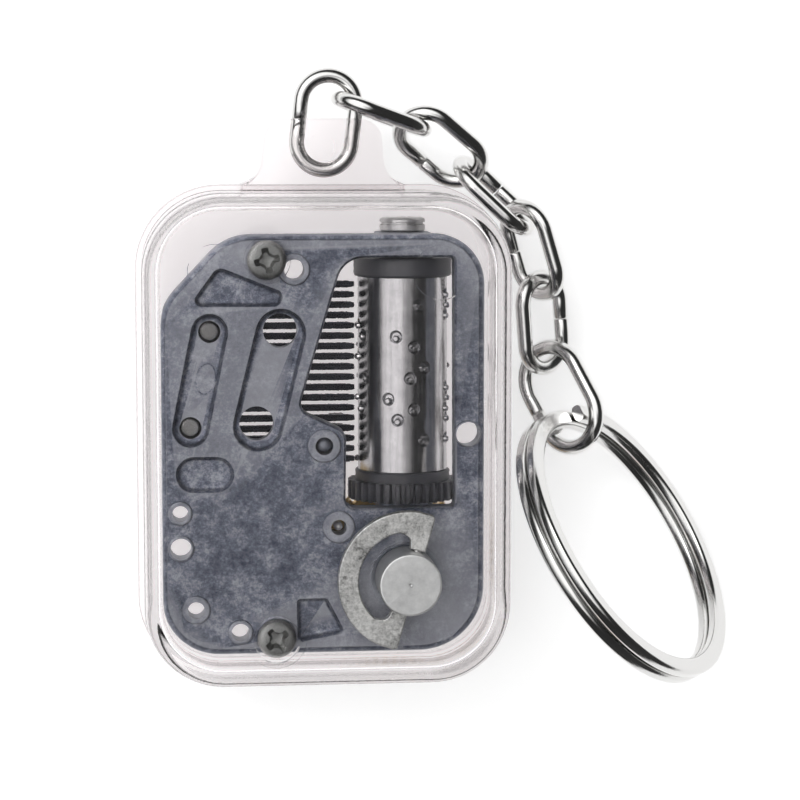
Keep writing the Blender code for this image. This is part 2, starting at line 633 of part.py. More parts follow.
bush = [(0, BUSH_HEIGHT), (BUSH_RADIUS - 0.2, BUSH_HEIGHT), (BUSH_RADIUS, BUSH_HEIGHT - 0.2),
        (BUSH_RADIUS, 0.85), (BUSH_RADIUS - 0.15, 0.75), (BUSH_RADIUS - 0.15, 0.6), (BUSH_RADIUS, 0.5),
        (BUSH_RADIUS, 0), (ARBOR_RADIUS + FIT_GAP, 0), (ARBOR_RADIUS + FIT_GAP, BUSH_HEIGHT * 0.5),
        (0, BUSH_HEIGHT * 0.5)]
turned("drum_bush", bush, STEEL, along_y(DRUM_X, PLATE_TOP_Y + FIT_GAP, DRUM_Z), 24)
ride(empty("drum_axis", along_y(DRUM_X, 0, DRUM_Z)), drum_sleeve, drum_cap, drum_gear, drum_arbor)

# ---- spring barrel and winding arbor -------------------------------------------------------

wheel_pitch_radius = BARREL_WHEEL_TEETH * MODULE / 2
CONTACT_TURN = math.acos((DRUM_X - STEM_X) / wheel_pitch_radius)
WHEEL_TURN = CONTACT_TURN + math.pi / BARREL_WHEEL_TEETH  # a gap at the contact
arbor_bore = circle((0, 0), WIND_ARBOR_RADIUS + FIT_GAP, 24)
barrel_wheel = flat("barrel_wheel", [gear_outline(BARREL_WHEEL_TEETH, wheel_pitch_radius + TOOTH_RISE,
                                                  wheel_pitch_radius - TOOTH_FALL, start=WHEEL_TURN),
                                     arbor_bore],
                    BARREL_WHEEL_Z, BARREL_WHEEL_Z + BARREL_WHEEL_THICK, BRASS, at(STEM_X, STEM_Y))
hole = WIND_ARBOR_RADIUS + FIT_GAP
cup_inside = BARREL_RADIUS - BARREL_WALL
cup_profile = [(cup_inside, BARREL_TOP_Z), (BARREL_RADIUS, BARREL_TOP_Z),
               (BARREL_RADIUS, BARREL_BOTTOM_Z + 0.4), (BARREL_RADIUS - 0.4, BARREL_BOTTOM_Z),
               (hole, BARREL_BOTTOM_Z), (hole, BARREL_BOTTOM_Z + BARREL_WALL),
               (cup_inside, BARREL_BOTTOM_Z + BARREL_WALL)]
barrel_cup = turned("barrel_cup", cup_profile, STEEL, at(STEM_X, STEM_Y), 36, True)
lid_low = BARREL_TOP_Z - LID_THICK
lid_edge = cup_inside - FIT_GAP / 4
barrel_lid = flat("barrel_lid", [circle((0, 0), lid_edge, 36), arbor_bore], lid_low, BARREL_TOP_Z, STEEL,
                  at(STEM_X, STEM_Y))


def spiral(first_radius, last_radius, turns, thick):
    """The outline of a flat spiral strip."""
    steps = int(turns * 16)
    middle = []
    for i in range(steps + 1):
        angle = 2 * math.pi * turns * i / steps
        radius = first_radius + (last_radius - first_radius) * i / steps
        middle.append((radius, angle))
    outer = [((r + thick / 2) * math.cos(a), (r + thick / 2) * math.sin(a)) for r, a in middle]
    inner = [((r - thick / 2) * math.cos(a), (r - thick / 2) * math.sin(a)) for r, a in middle]
    return outer + inner[::-1]


spring_low = BARREL_BOTTOM_Z + BARREL_WALL + 0.2
spring_outline = spiral(WIND_ARBOR_RADIUS + 0.4, cup_inside - 0.4, SPRING_TURNS, SPRING_THICK)
mainspring = flat("mainspring", [spring_outline], spring_low, lid_low - 0.2, SPRING_STEEL,
                  at(STEM_X, STEM_Y))
barrel_axis = empty("barrel_axis", at(STEM_X, STEM_Y, BARREL_BOTTOM_Z))
ride(barrel_axis, barrel_wheel, barrel_cup, barrel_lid, mainspring)

pivot_z = CASE_DEPTH + KEY_LIFT + KEY_THICK / 2
stem_profile = [(0, STEM_TOP_Z - 0.15), (0.15, STEM_TOP_Z), (STEM_RADIUS - 0.2, STEM_TOP_Z),
                (STEM_RADIUS, STEM_TOP_Z - 0.2), (STEM_RADIUS, PLATE_FRONT_Z + 0.5),
                (WIND_ARBOR_RADIUS, PLATE_FRONT_Z + 0.5), (WIND_ARBOR_RADIUS, BARREL_WHEEL_Z - 0.6),
                (0, BARREL_WHEEL_Z - 0.6)]
winding_stem = turned("winding_stem", stem_profile, STEEL, at(STEM_X, STEM_Y), 30)
PIVOT_LINE = at(STEM_X, STEM_Y, pivot_z) @ Matrix.Rotation(KEY_TILT, 4, "Z")
for side in (1, -1):
    drill = flat_mesh("drill", [circle((0, 0), PIVOT_RADIUS + FIT_GAP / 2, 16)],
                      STEM_RADIUS - PIVOT_DEPTH - 0.1, STEM_RADIUS + 1)
    cut(winding_stem, "drill", drill, PIVOT_LINE @ Matrix.Rotation(math.radians(90 * side), 4, "Y"))
ratchet_z = BARREL_TOP_Z + 0.35
ratchet_points = []
for i in range(RATCHET_TEETH):
    angle = 2 * math.pi * i / RATCHET_TEETH
    ratchet_points += [(RATCHET_RADIUS * math.cos(angle), RATCHET_RADIUS * math.sin(angle)),
                       ((RATCHET_RADIUS - 0.5) * math.cos(angle + 0.08),
                        (RATCHET_RADIUS - 0.5) * math.sin(angle + 0.08))]
ratchet = flat("ratchet_wheel", [ratchet_points, circle((0, 0), WIND_ARBOR_RADIUS + FIT_GAP / 8, 24)],
               ratchet_z, ratchet_z + RATCHET_THICK, BRASS, at(STEM_X, STEM_Y))
click_x = STEM_X + RATCHET_RADIUS + 0.15
click = flat("click_spring", [box_outline(click_x, click_x + 0.4, STEM_Y - 4.2, STEM_Y + 0.4)],
             ratchet_z, ratchet_z + RATCHET_THICK, SPRING_STEEL)
foot = flat_mesh("foot", [box_outline(click_x - 0.6, click_x + 1.0, STEM_Y - 4.6, STEM_Y - 3.2, 0.3)],
                 ratchet_z, PLATE_BACK_Z - FIT_GAP)
join(click, "foot", foot)

# ---- folding key ---------------------------------------------------------------------------

arm_start = STEM_RADIUS + KEY_ARM_GAP
edge_out = math.degrees(math.asin(KEY_CHORD / KEY_OUTER_RADIUS))
edge_in = math.degrees(math.asin(KEY_CHORD / KEY_INNER_RADIUS))
FILLET_SWEEP = 16
# The pivot line is the key's own X, and the half-moon lies on its +Y side.
key_outline = arc((0, 0), KEY_OUTER_RADIUS, -edge_out, 180 + edge_out, 28)
key_outline += [(-arm_start, -KEY_CHORD), (-arm_start, KEY_CHORD)]
key_outline += arc((0, 0), KEY_INNER_RADIUS, 180 - edge_in - FILLET_SWEEP, edge_in + FILLET_SWEEP, 20)
key_outline += [(arm_start, KEY_CHORD), (arm_start, -KEY_CHORD)]
key = flat("folding_key", [key_outline], -KEY_THICK / 2, KEY_THICK / 2, STEEL, PIVOT_LINE)
for side in (1, -1):
    pin = flat_mesh("pin", [circle((0, 0), PIVOT_RADIUS, 16)], STEM_RADIUS - PIVOT_DEPTH, STEM_RADIUS + 1)
    join(key, "pin", pin, PIVOT_LINE @ Matrix.Rotation(math.radians(90 * side), 4, "Y"))
stem_axis = empty("stem_axis", at(STEM_X, STEM_Y, PLATE_FRONT_Z))
ride(stem_axis, winding_stem, ratchet)
key_axis = empty("key_axis", PIVOT_LINE)
ride(stem_axis, key_axis)
ride(key_axis, key)

# ---- governor ------------------------------------------------------------------------------

pinion_pitch_radius = PINION_LEAVES * MODULE / 2
towards_barrel = math.atan2(STEM_Y - GOVERNOR_Y, STEM_X - GOVERNOR_X)
# The wheel's gap and the pinion's leaf face each other on the line of centres.
wheel_phase = (towards_barrel + math.pi - WHEEL_TURN) / (2 * math.pi / BARREL_WHEEL_TEETH)
gap_offset = (wheel_phase - math.floor(wheel_phase) - 0.5) * 2 * math.pi / BARREL_WHEEL_TEETH
pinion_start = towards_barrel + gap_offset * BARREL_WHEEL_TEETH / PINION_LEAVES
arbor_top = PLATE_FRONT_Z - 0.3
governor_arbor = turned("governor_arbor", [(0, arbor_top), (GOVERNOR_ARBOR_RADIUS, arbor_top),
                                           (GOVERNOR_ARBOR_RADIUS, COCK_Z + 0.1), (0, COCK_Z + 0.1)],
                        STEEL, at(GOVERNOR_X, GOVERNOR_Y), 16)
pinion = gear_outline(PINION_LEAVES, pinion_pitch_radius + TOOTH_RISE, pinion_pitch_radius - TOOTH_FALL,
                      0.26, 0.5, pinion_start)
join(governor_arbor, "pinion", flat_mesh("pinion", [pinion], BARREL_WHEEL_Z + 0.1,
                                         BARREL_WHEEL_Z + BARREL_WHEEL_THICK + 0.6),
     at(GOVERNOR_X, GOVERNOR_Y))
worm_wheel = flat("worm_wheel", [gear_outline(WORM_WHEEL_TEETH, WORM_WHEEL_RADIUS, WORM_WHEEL_RADIUS - 0.25),
                                 circle((0, 0), GOVERNOR_ARBOR_RADIUS + FIT_GAP / 8, 16)],
                  WORM_WHEEL_Z, WORM_WHEEL_Z + WORM_WHEEL_THICK, BRASS, at(GOVERNOR_X, GOVERNOR_Y))
ride(empty("governor_axis", at(GOVERNOR_X, GOVERNOR_Y, WORM_WHEEL_Z)), governor_arbor, worm_wheel)

WORM_Y = GOVERNOR_Y - WORM_WHEEL_RADIUS - WORM_RADIUS - WORM_GAP
WORM_Z = WORM_WHEEL_Z + WORM_WHEEL_THICK / 2
LUG_THICK = 0.45
LUG_RIGHT_X = GOVERNOR_X + 0.35
WORM_LENGTH = 2.6
FLY_LENGTH = 5.6
worm_left_x = LUG_RIGHT_X - 0.1 - WORM_LENGTH
lug_middle_x = worm_left_x - 0.25 - LUG_THICK
fly_right_x = lug_middle_x - 0.25
lug_left_x = fly_right_x - FLY_LENGTH - 0.25 - LUG_THICK
worm_profile = [(0, LUG_RIGHT_X + LUG_THICK), (WORM_PIVOT_RADIUS, LUG_RIGHT_X + LUG_THICK),
                (WORM_PIVOT_RADIUS, LUG_RIGHT_X - 0.1)]
thread_turns = 5
thread_pitch = WORM_LENGTH / thread_turns
for i in range(thread_turns):
    crest = LUG_RIGHT_X - 0.1 - i * thread_pitch
    worm_profile += [(WORM_RADIUS - 0.2, crest), (WORM_RADIUS, crest - thread_pitch * 0.35),
                     (WORM_RADIUS, crest - thread_pitch * 0.65)]
worm_profile += [(WORM_RADIUS - 0.2, worm_left_x), (WORM_PIVOT_RADIUS, worm_left_x),
                 (WORM_PIVOT_RADIUS, lug_left_x), (0, lug_left_x)]
worm = turned("worm", worm_profile, STEEL, along_x(0, WORM_Y, WORM_Z), 12)
fly_left_x = fly_right_x - FLY_LENGTH
fly = flat("fly", [box_outline(-FLY_RADIUS, FLY_RADIUS, fly_left_x, fly_right_x, 0.5, 4)],
           -FLY_THICK / 2, FLY_THICK / 2, BRASS,
           at(0, WORM_Y, WORM_Z) @ Matrix.Rotation(math.radians(-90), 4, "Z"))
hub = flat_mesh("hub", [circle((0, 0), 0.65, 16)], fly_left_x, fly_right_x)
join(fly, "hub", hub, along_x(0, WORM_Y, WORM_Z))
fly_bore = flat_mesh("bore", [circle((0, 0), WORM_PIVOT_RADIUS + FIT_GAP / 8, 12)],
                     fly_left_x - 1, fly_right_x + 1)
cut(fly, "bore", fly_bore, along_x(0, WORM_Y, WORM_Z))
ride(empty("worm_axis", along_x(0, WORM_Y, WORM_Z)), worm, fly)

BRACKET_TOP_Z = PLATE_BACK_Z - FIT_GAP
bracket_low_z = BRACKET_TOP_Z - BRACKET_THICK
arm_low_y = WORM_Y - 1.0
arm_high_y = WORM_Y + 1.7
ear_high_y = -6.5
bracket_outline = [(lug_left_x, arm_low_y), (LUG_RIGHT_X + LUG_THICK, arm_low_y),
                   (LUG_RIGHT_X + LUG_THICK, arm_high_y), (BRACKET_SCREWS[1][0] + 1.5, arm_high_y),
                   (BRACKET_SCREWS[1][0] + 1.5, ear_high_y), (lug_left_x, ear_high_y)]
bracket = flat("governor_bracket", [bracket_outline], bracket_low_z, BRACKET_TOP_Z, ZINC)
for lug_x in (lug_left_x, lug_middle_x, LUG_RIGHT_X):
    lug = flat_mesh("lug", [box_outline(lug_x, lug_x + LUG_THICK, WORM_Y - 0.6, WORM_Y + 0.6)],
                    WORM_Z - 0.9, bracket_low_z + 0.4)
    join(bracket, "lug", lug)
bearing = flat_mesh("bearing", [circle((0, 0), WORM_PIVOT_RADIUS + FIT_GAP / 2, 12)],
                    lug_left_x - 1, LUG_RIGHT_X + LUG_THICK + 1)
cut(bracket, "bearing", bearing, along_x(0, WORM_Y, WORM_Z))
for place in BRACKET_SCREWS:
    cut(bracket, "hole", flat_mesh("hole", [circle(place, BRACKET_SHANK + FIT_GAP, 16)],
                                   bracket_low_z - 1, BRACKET_TOP_Z + 1))


def small_screw(name, place, head_z, tip_z):
    """A cheese-head screw put in from behind: its head is at the low end."""
    profile = [(0, tip_z), (BRACKET_SHANK - 0.1, tip_z), (BRACKET_SHANK, tip_z - 0.15),
               (BRACKET_SHANK, head_z), (BRACKET_SHANK + 0.4, head_z),
               (BRACKET_SHANK + 0.4, head_z - 0.5), (0, head_z - 0.5)]
    return turned(name, profile, NICKEL, at(*place), 16)


SCREW_TIP_Z = PLATE_BACK_Z + BLIND_DEPTH - 0.2
for index, place in enumerate(BRACKET_SCREWS, 1):
    small_screw(f"bracket_screw_{index}", place, bracket_low_z - FIT_GAP, SCREW_TIP_Z)

cock_outline = stadium((GOVERNOR_X, GOVERNOR_Y), COCK_POST, COCK_POST_RADIUS)
cock = flat("governor_cock", [cock_outline], COCK_Z, COCK_Z + COCK_THICK, BRASS)
post = flat_mesh("post", [circle(COCK_POST, COCK_POST_RADIUS, 24)], COCK_Z + COCK_THICK / 2, BRACKET_TOP_Z)
join(cock, "post", post)
governor_place = (GOVERNOR_X, GOVERNOR_Y)
for place, radius in ((COCK_POST, BRACKET_SHANK), (governor_place, GOVERNOR_ARBOR_RADIUS)):
    cut(cock, "hole", flat_mesh("hole", [circle(place, radius + FIT_GAP, 16)], COCK_Z - 1, PLATE_FRONT_Z))
small_screw("cock_screw", COCK_POST, COCK_Z - FIT_GAP, SCREW_TIP_Z)

# ---- chain ---------------------------------------------------------------------------------


def link_points(length, width, steps=6):
    """Middle line of an oval link whose length runs along X."""
    half_l = (length - LINK_WIRE) / 2
    half_w = (width - LINK_WIRE) / 2
    straight = half_l - half_w
    right = arc((straight, 0), half_w, -90, 90, steps)
    left = arc((-straight, 0), half_w, 90, 270, steps)
    return right + left


def add_link(name, length, width, place):
    """A closed oval of round wire."""
    curve = bpy.data.curves.new(name, "CURVE")
    curve.dimensions = "3D"
    curve.bevel_depth = LINK_WIRE / 2 * MM
    curve.bevel_resolution = 2
    spline = curve.splines.new("POLY")
    points = link_points(length, width)
    spline.points.add(len(points) - 1)
    for point, (x, y) in zip(spline.points, points):
        point.co = (x * MM, y * MM, 0, 1)
    spline.use_cyclic_u = True
    made = bpy.data.objects.new(name, curve)
    made.matrix_world = place
    parts.objects.link(made)
    curve.materials.append(material(NICKEL))
    return made


def frame_on(middle, along, normal):
    """A frame with X along a link and Z square to its plane."""
    x_axis = along.normalized()
    z_axis = (normal - x_axis * normal.dot(x_axis)).normalized()
    y_axis = z_axis.cross(x_axis)
    turn = Matrix((x_axis, y_axis, z_axis)).transposed().to_4x4()
    return Matrix.Translation(middle * MM) @ turn


places = [Vector(place) for place in CHAIN_PLACES]
UP = Vector((0, 0, 1))
post_place = Vector((0, POST_Y, PARTING_Z))
FIRST_LINK_MIDDLE = Vector((0.45, 30.0, PARTING_Z))
FIRST_LINK_ALONG = Vector((0.12, 1.0, 0))
LAYS = (90, 36, 110, 56, 143, 42)  # roll of each following link about its length, degrees

link_1 = add_link("link_1", LINK_LENGTH, LINK_WIDTH, frame_on(FIRST_LINK_MIDDLE, FIRST_LINK_ALONG, UP))
links = [link_1]
for number, roll in enumerate(LAYS, 2):
    start, end = places[number - 2], places[number - 1]
    along = end - start
    length, width, shift = LINK_LENGTH, LINK_WIDTH, 0.0
    if number == 7:
        length, width, shift = JUMP_LENGTH, JUMP_WIDTH, JUMP_SHIFT
    middle = (start + end) / 2 + along.normalized() * shift
    frame = frame_on(middle, along, UP) @ Matrix.Rotation(math.radians(roll), 4, "X")
    links.append(add_link(f"link_{number}", length, width, frame))

# ---- split ring ----------------------------------------------------------------------------

RING_TURNS = 2.0
RING_STEPS = 28
ring_pitch = RING_WIRE_THICK + RING_COIL_GAP
profile_curve = bpy.data.curves.new("ring_wire_section", "CURVE")
profile_curve.dimensions = "2D"
section = profile_curve.splines.new("POLY")
corner = 0.35
section_points = box_outline(-RING_WIRE_THICK / 2, RING_WIRE_THICK / 2, -RING_WIRE_WIDE / 2, RING_WIRE_WIDE / 2,
                             corner, 1)
section.points.add(len(section_points) - 1)
for point, (x, y) in zip(section.points, section_points):
    point.co = (x * MM, y * MM, 0, 1)
section.use_cyclic_u = True
ring_section = bpy.data.objects.new("ring_wire_section", profile_curve)
ring_section.hide_render = True
cutters.objects.link(ring_section)

ring_curve = bpy.data.curves.new("split_ring", "CURVE")
ring_curve.dimensions = "3D"
ring_curve.bevel_mode = "OBJECT"
ring_curve.bevel_object = ring_section
ring_curve.use_fill_caps = True
ring_curve.twist_mode = "Z_UP"
coil = ring_curve.splines.new("POLY")
count = int(RING_TURNS * RING_STEPS) + 1
coil.points.add(count - 1)
RING_START = math.radians(150)
for i, point in enumerate(coil.points):
    angle = RING_START + 2 * math.pi * RING_TURNS * i / (count - 1)
    height = (i / (count - 1) - 0.5) * ring_pitch * RING_TURNS
    point.co = (RING_RADIUS * math.cos(angle) * MM, RING_RADIUS * math.sin(angle) * MM, height * MM, 1)
ring_frame = (at(*RING_CENTRE) @ Matrix.Rotation(RING_MAJOR_ANGLE, 4, "Z")
              @ Matrix.Rotation(RING_TILT, 4, "X"))
ring_mesh = solid_mesh(bpy.data.objects.new("ring_guide", ring_curve), "split_ring")
ring = add_object("split_ring", ring_mesh, NICKEL, ring_frame)

chain_axes = [empty("link_1_axis", at(*post_place))]
for number, place in enumerate(places, 2):
    chain_axes.append(empty(f"hang_{number}_axis", at(*place)))
for pivot, piece in zip(chain_axes, [*links, ring]):
    ride(pivot, piece)
for outer, inner in zip(chain_axes, chain_axes[1:]):
    ride(outer, inner)

for piece in parts.objects:
    if piece.type == "MESH":
        piece.data.shade_smooth()
        piece.data.set_sharp_from_angle(angle=math.radians(35))
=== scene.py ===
"""Keyring music box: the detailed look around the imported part.

Lengths below are millimetres in the part's own frame: the origin is the centre of the back
cover's outer face, +X right, +Y towards the hanging tab and +Z out of the front.
"""

import math
import random

import bmesh
import bpy
from mathutils import Matrix, Vector


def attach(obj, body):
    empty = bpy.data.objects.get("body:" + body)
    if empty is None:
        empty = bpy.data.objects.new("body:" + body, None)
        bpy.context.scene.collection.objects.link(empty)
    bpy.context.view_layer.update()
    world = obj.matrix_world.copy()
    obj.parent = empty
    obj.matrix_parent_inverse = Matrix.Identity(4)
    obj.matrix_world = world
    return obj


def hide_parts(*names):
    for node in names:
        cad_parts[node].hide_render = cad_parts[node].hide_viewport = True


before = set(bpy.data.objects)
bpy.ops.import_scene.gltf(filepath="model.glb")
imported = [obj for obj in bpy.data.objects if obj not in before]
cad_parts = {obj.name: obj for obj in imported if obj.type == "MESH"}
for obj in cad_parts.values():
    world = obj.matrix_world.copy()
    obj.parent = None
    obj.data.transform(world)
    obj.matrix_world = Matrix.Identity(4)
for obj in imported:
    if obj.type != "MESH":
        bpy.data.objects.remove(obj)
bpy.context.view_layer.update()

# ---- table, light and camera ---------------------------------------------------------------
# The piece lies on its back on a plain white table. A wide soft light hangs overhead, the room
# around it is dark, and the white table throws light back up into the metal and the clear case.

MM = 0.001
scene = bpy.context.scene
scene.view_settings.view_transform = "Standard"
scene.view_settings.look = "None"


def add_node(tree, kind, inputs=None, **settings):
    """Adds a shader node, sets its options and fills its inputs by value or by link."""
    made = tree.nodes.new(kind)
    for key, value in settings.items():
        setattr(made, key, value)
    for key, value in (inputs or {}).items():
        if isinstance(value, bpy.types.NodeSocket):
            tree.links.new(value, made.inputs[key])
        else:
            made.inputs[key].default_value = value
    return made


def ramp(tree, value, stops):
    """A colour ramp over a value: stops are (place, grey or (r, g, b))."""
    made = add_node(tree, "ShaderNodeValToRGB", {"Fac": value})
    points = made.color_ramp.elements
    while len(points) < len(stops):
        points.new(0.5)
    for point, (place, colour) in zip(points, stops):
        shade = (colour,) * 3 if isinstance(colour, (int, float)) else colour
        point.position = place
        point.color = (*shade, 1.0)
    return made.outputs["Color"]


def new_finish(name):
    """A fresh material and its node tree with one Principled shader."""
    made = bpy.data.materials.new(name)
    made.use_nodes = True
    return made, made.node_tree, made.node_tree.nodes["Principled BSDF"]


def noise(tree, scale, detail, roughness=0.5, vector=None):
    """A cloudy pattern over the piece's box, or over the coordinates that are given."""
    inputs = {"Scale": scale, "Detail": detail, "Roughness": roughness}
    if vector is not None:
        inputs["Vector"] = vector
    return add_node(tree, "ShaderNodeTexNoise", inputs).outputs["Fac"]


room = bpy.data.worlds.new("dark room with an overhead softbox")
scene.world = room
room.use_nodes = True
room_tree = room.node_tree
sky = add_node(room_tree, "ShaderNodeTexCoord").outputs["Generated"]


def towards(direction):
    """How far each direction of the room leans towards one direction."""
    lean = add_node(room_tree, "ShaderNodeVectorMath", {0: sky}, operation="DOT_PRODUCT")
    lean.inputs[1].default_value = Vector(direction).normalized()
    return lean.outputs["Value"]


softbox = ramp(room_tree, towards((-0.42, 0.24, 1.0)),
               [(0.0, 0.03), (0.5, 0.02), (0.7, 0.04), (0.8, 0.95), (1.0, 1.0)])
opening = ramp(room_tree, towards((0.10, -0.09, 1.0)), [(0.0, 1.0), (0.975, 1.0), (0.992, 0.4), (1.0, 0.35)])
glow = add_node(room_tree, "ShaderNodeMix", {"Factor": 1.0}, data_type="RGBA", blend_type="MULTIPLY")
room_tree.links.new(softbox, glow.inputs["A"])
room_tree.links.new(opening, glow.inputs["B"])
ROOM_STRENGTH = 1.5
background = room_tree.nodes["Background"]
background.inputs["Strength"].default_value = ROOM_STRENGTH
room_tree.links.new(glow.outputs["Result"], background.inputs["Color"])

TABLE_SIZE = 900.0
TABLE_DROP = 0.15
TABLE_GLOW = 0.6
table_mesh = bpy.data.meshes.new("table_top")
half = TABLE_SIZE / 2 * MM
table_mesh.from_pydata([(-half, -half, 0), (half, -half, 0), (half, half, 0), (-half, half, 0)],
                       [], [(0, 1, 2, 3)])
table = bpy.data.objects.new("table_top", table_mesh)
table.location.z = -TABLE_DROP * MM
scene.collection.objects.link(table)
table_finish, tree, shader = new_finish("white table")
tree.links.new(ramp(tree, noise(tree, 40.0, 2.0), [(0.0, 0.84), (1.0, 0.88)]), shader.inputs["Base Color"])
shader.inputs["Roughness"].default_value = 0.9
shader.inputs["Specular IOR Level"].default_value = 0.1
shader.inputs["Emission Color"].default_value = (1.0, 1.0, 1.0, 1.0)
shader.inputs["Emission Strength"].default_value = TABLE_GLOW
table_mesh.materials.append(table_finish)


def add_softbox(name, place, aim, width, depth, power):
    """A rectangular soft light looking at a point."""
    lamp = bpy.data.lights.new(name, "AREA")
    lamp.shape = "RECTANGLE"
    lamp.size = width * MM
    lamp.size_y = depth * MM
    lamp.energy = power
    made = bpy.data.objects.new(name, lamp)
    made.location = Vector(place) * MM
    made.rotation_euler = (Vector(aim) - Vector(place)).to_track_quat("-Z", "Y").to_euler()
    scene.collection.objects.link(made)


add_softbox("key softbox", (-150, 190, 330), (0, 0, 10), 160, 120, 0.28)

CAMERA_PLACE = (-17.4, 29.5, 251.0)
CAMERA_AIM = (6.91, 3.74, 16.0)
CAMERA_LENS = 112.3
lens = bpy.data.cameras.new("camera")
lens.lens = CAMERA_LENS
lens.sensor_width = 36.0
lens.clip_start = 0.01
lens.clip_end = 10.0
camera = bpy.data.objects.new("camera", lens)
camera.location = Vector(CAMERA_PLACE) * MM
forward = (Vector(CAMERA_AIM) - Vector(CAMERA_PLACE)).normalized()
level = forward.cross(Vector((0, 1, 0))).normalized()
camera.rotation_euler = Matrix((level, level.cross(forward), -forward)).transposed().to_euler()
scene.collection.objects.link(camera)
scene.camera = camera

# ---- clear case ----------------------------------------------------------------------------
# Two moulded shells of clear polystyrene meet at a thin flange halfway up. Each has a cheek of
# the hanging tab, with half of the post that the chain hangs on, and hollow bosses for the screws.

CASE_WIDTH = 35.0
CASE_HEIGHT = 47.0
CASE_DEPTH = 18.0
CASE_CORNER = 7.6
CASE_WALL = 1.3
CASE_EDGE = 1.1
EDGE_STEPS = 6
CAVITY_EDGE = 0.7
SEAM_Z = 9.0
SEAM_GAP = 0.025
FLANGE_LIP = 0.6
FLANGE_THICK = 0.9
TAB_TOP = 30.4
TAB_HALF_WIDTH = 5.7
TAB_CHEEK = 1.2
TAB_GAP = 2.2
TAB_FOOT = 2.2
TAB_CORNER = 2.2
POST_Y = 27.7
POST_RADIUS = 1.25
MARK_RINGS = (POST_RADIUS, POST_RADIUS + 0.42)
ROOF_Z = CASE_DEPTH - CASE_WALL
PLATE_FRONT_Z = 16.0
PLATE_BACK_Z = 13.8
SCREW_PLACES = ((-5.75, 17.17), (-4.98, -18.93))
STEM_X = 7.4
STEM_Y = -13.2
STEM_RADIUS = 2.95


def arc(centre, radius, start, end, steps):
    """Points on an arc, angles in degrees."""
    turns = [math.radians(start + (end - start) * i / steps) for i in range(steps + 1)]
    return [(centre[0] + radius * math.cos(t), centre[1] + radius * math.sin(t)) for t in turns]


def circle(centre, radius, steps=64):
    return arc(centre, radius, 0, 360, steps)[:-1]


def rounded(corners, steps=10):
    """A closed outline from (x, y, radius) corners."""
    points = []
    count = len(corners)
    for i, (x, y, radius) in enumerate(corners):
        here = Vector((x, y))
        to_last = (Vector(corners[i - 1][:2]) - here).normalized()
        to_next = (Vector(corners[(i + 1) % count][:2]) - here).normalized()
        half_angle = math.acos(max(-1.0, min(1.0, to_last.dot(to_next)))) / 2
        if radius <= 0:
            points.append((x, y))
            continue
        middle = here + (to_last + to_next).normalized() * (radius / math.sin(half_angle))
        first = here + to_last * (radius / math.tan(half_angle)) - middle
        last = here + to_next * (radius / math.tan(half_angle)) - middle
        sweep = first.angle_signed(last)
        for k in range(steps + 1):
            spoke = Vector(first)
            spoke.rotate(Matrix.Rotation(-sweep * k / steps, 2))
            points.append(tuple(middle + spoke))
    return points


def box_outline(x0, x1, y0, y1, radius=0.0, steps=10):
    return rounded([(x0, y0, radius), (x1, y0, radius), (x1, y1, radius), (x0, y1, radius)], steps)


def stadium(first, second, radius, steps=24):
    """The outline of a slot with round ends."""
    lean = math.degrees(math.atan2(second[1] - first[1], second[0] - first[0]))
    return (arc(second, radius, lean - 90, lean + 90, steps)
            + arc(first, radius, lean + 90, lean + 270, steps))


def inset(outline, distance):
    """An outline moved inwards by a distance, point by point."""
    count = len(outline)
    area = sum(outline[i - 1][0] * outline[i][1] - outline[i][0] * outline[i - 1][1]
               for i in range(count))
    side = 1 if area > 0 else -1
    moved = []
    for i, here in enumerate(outline):
        before, after = Vector(outline[i - 1]), Vector(outline[(i + 1) % count])
        first = (Vector(here) - before).normalized()
        second = (after - Vector(here)).normalized()
        along = (first + second).normalized()
        inward = Vector((-along.y, along.x)) * side
        stretch = max(0.5, along.dot(first))
        moved.append(tuple(Vector(here) + inward * (distance / stretch)))
    return moved


def mesh_from(name, shape):
    """Closes a bmesh into a mesh in metres with its faces turned outwards."""
    bmesh.ops.remove_doubles(shape, verts=shape.verts, dist=1e-4)
    bmesh.ops.recalc_face_normals(shape, faces=shape.faces)
    bmesh.ops.scale(shape, vec=(MM, MM, MM), verts=shape.verts)
    mesh = bpy.data.meshes.new(name)
    shape.to_mesh(mesh)
    shape.free()
    return mesh


def loft(name, levels):
    """A closed solid through outlines of one point count: levels are (outline, height)."""
    shape = bmesh.new()
    rows = [[shape.verts.new((x, y, z)) for x, y in outline] for outline, z in levels]
    count = len(rows[0])
    for low, high in zip(rows, rows[1:]):
        for i in range(count):
            shape.faces.new((low[i - 1], low[i], high[i], high[i - 1]))
    shape.faces.new(rows[0])
    shape.faces.new(rows[-1])
    return mesh_from(name, shape)


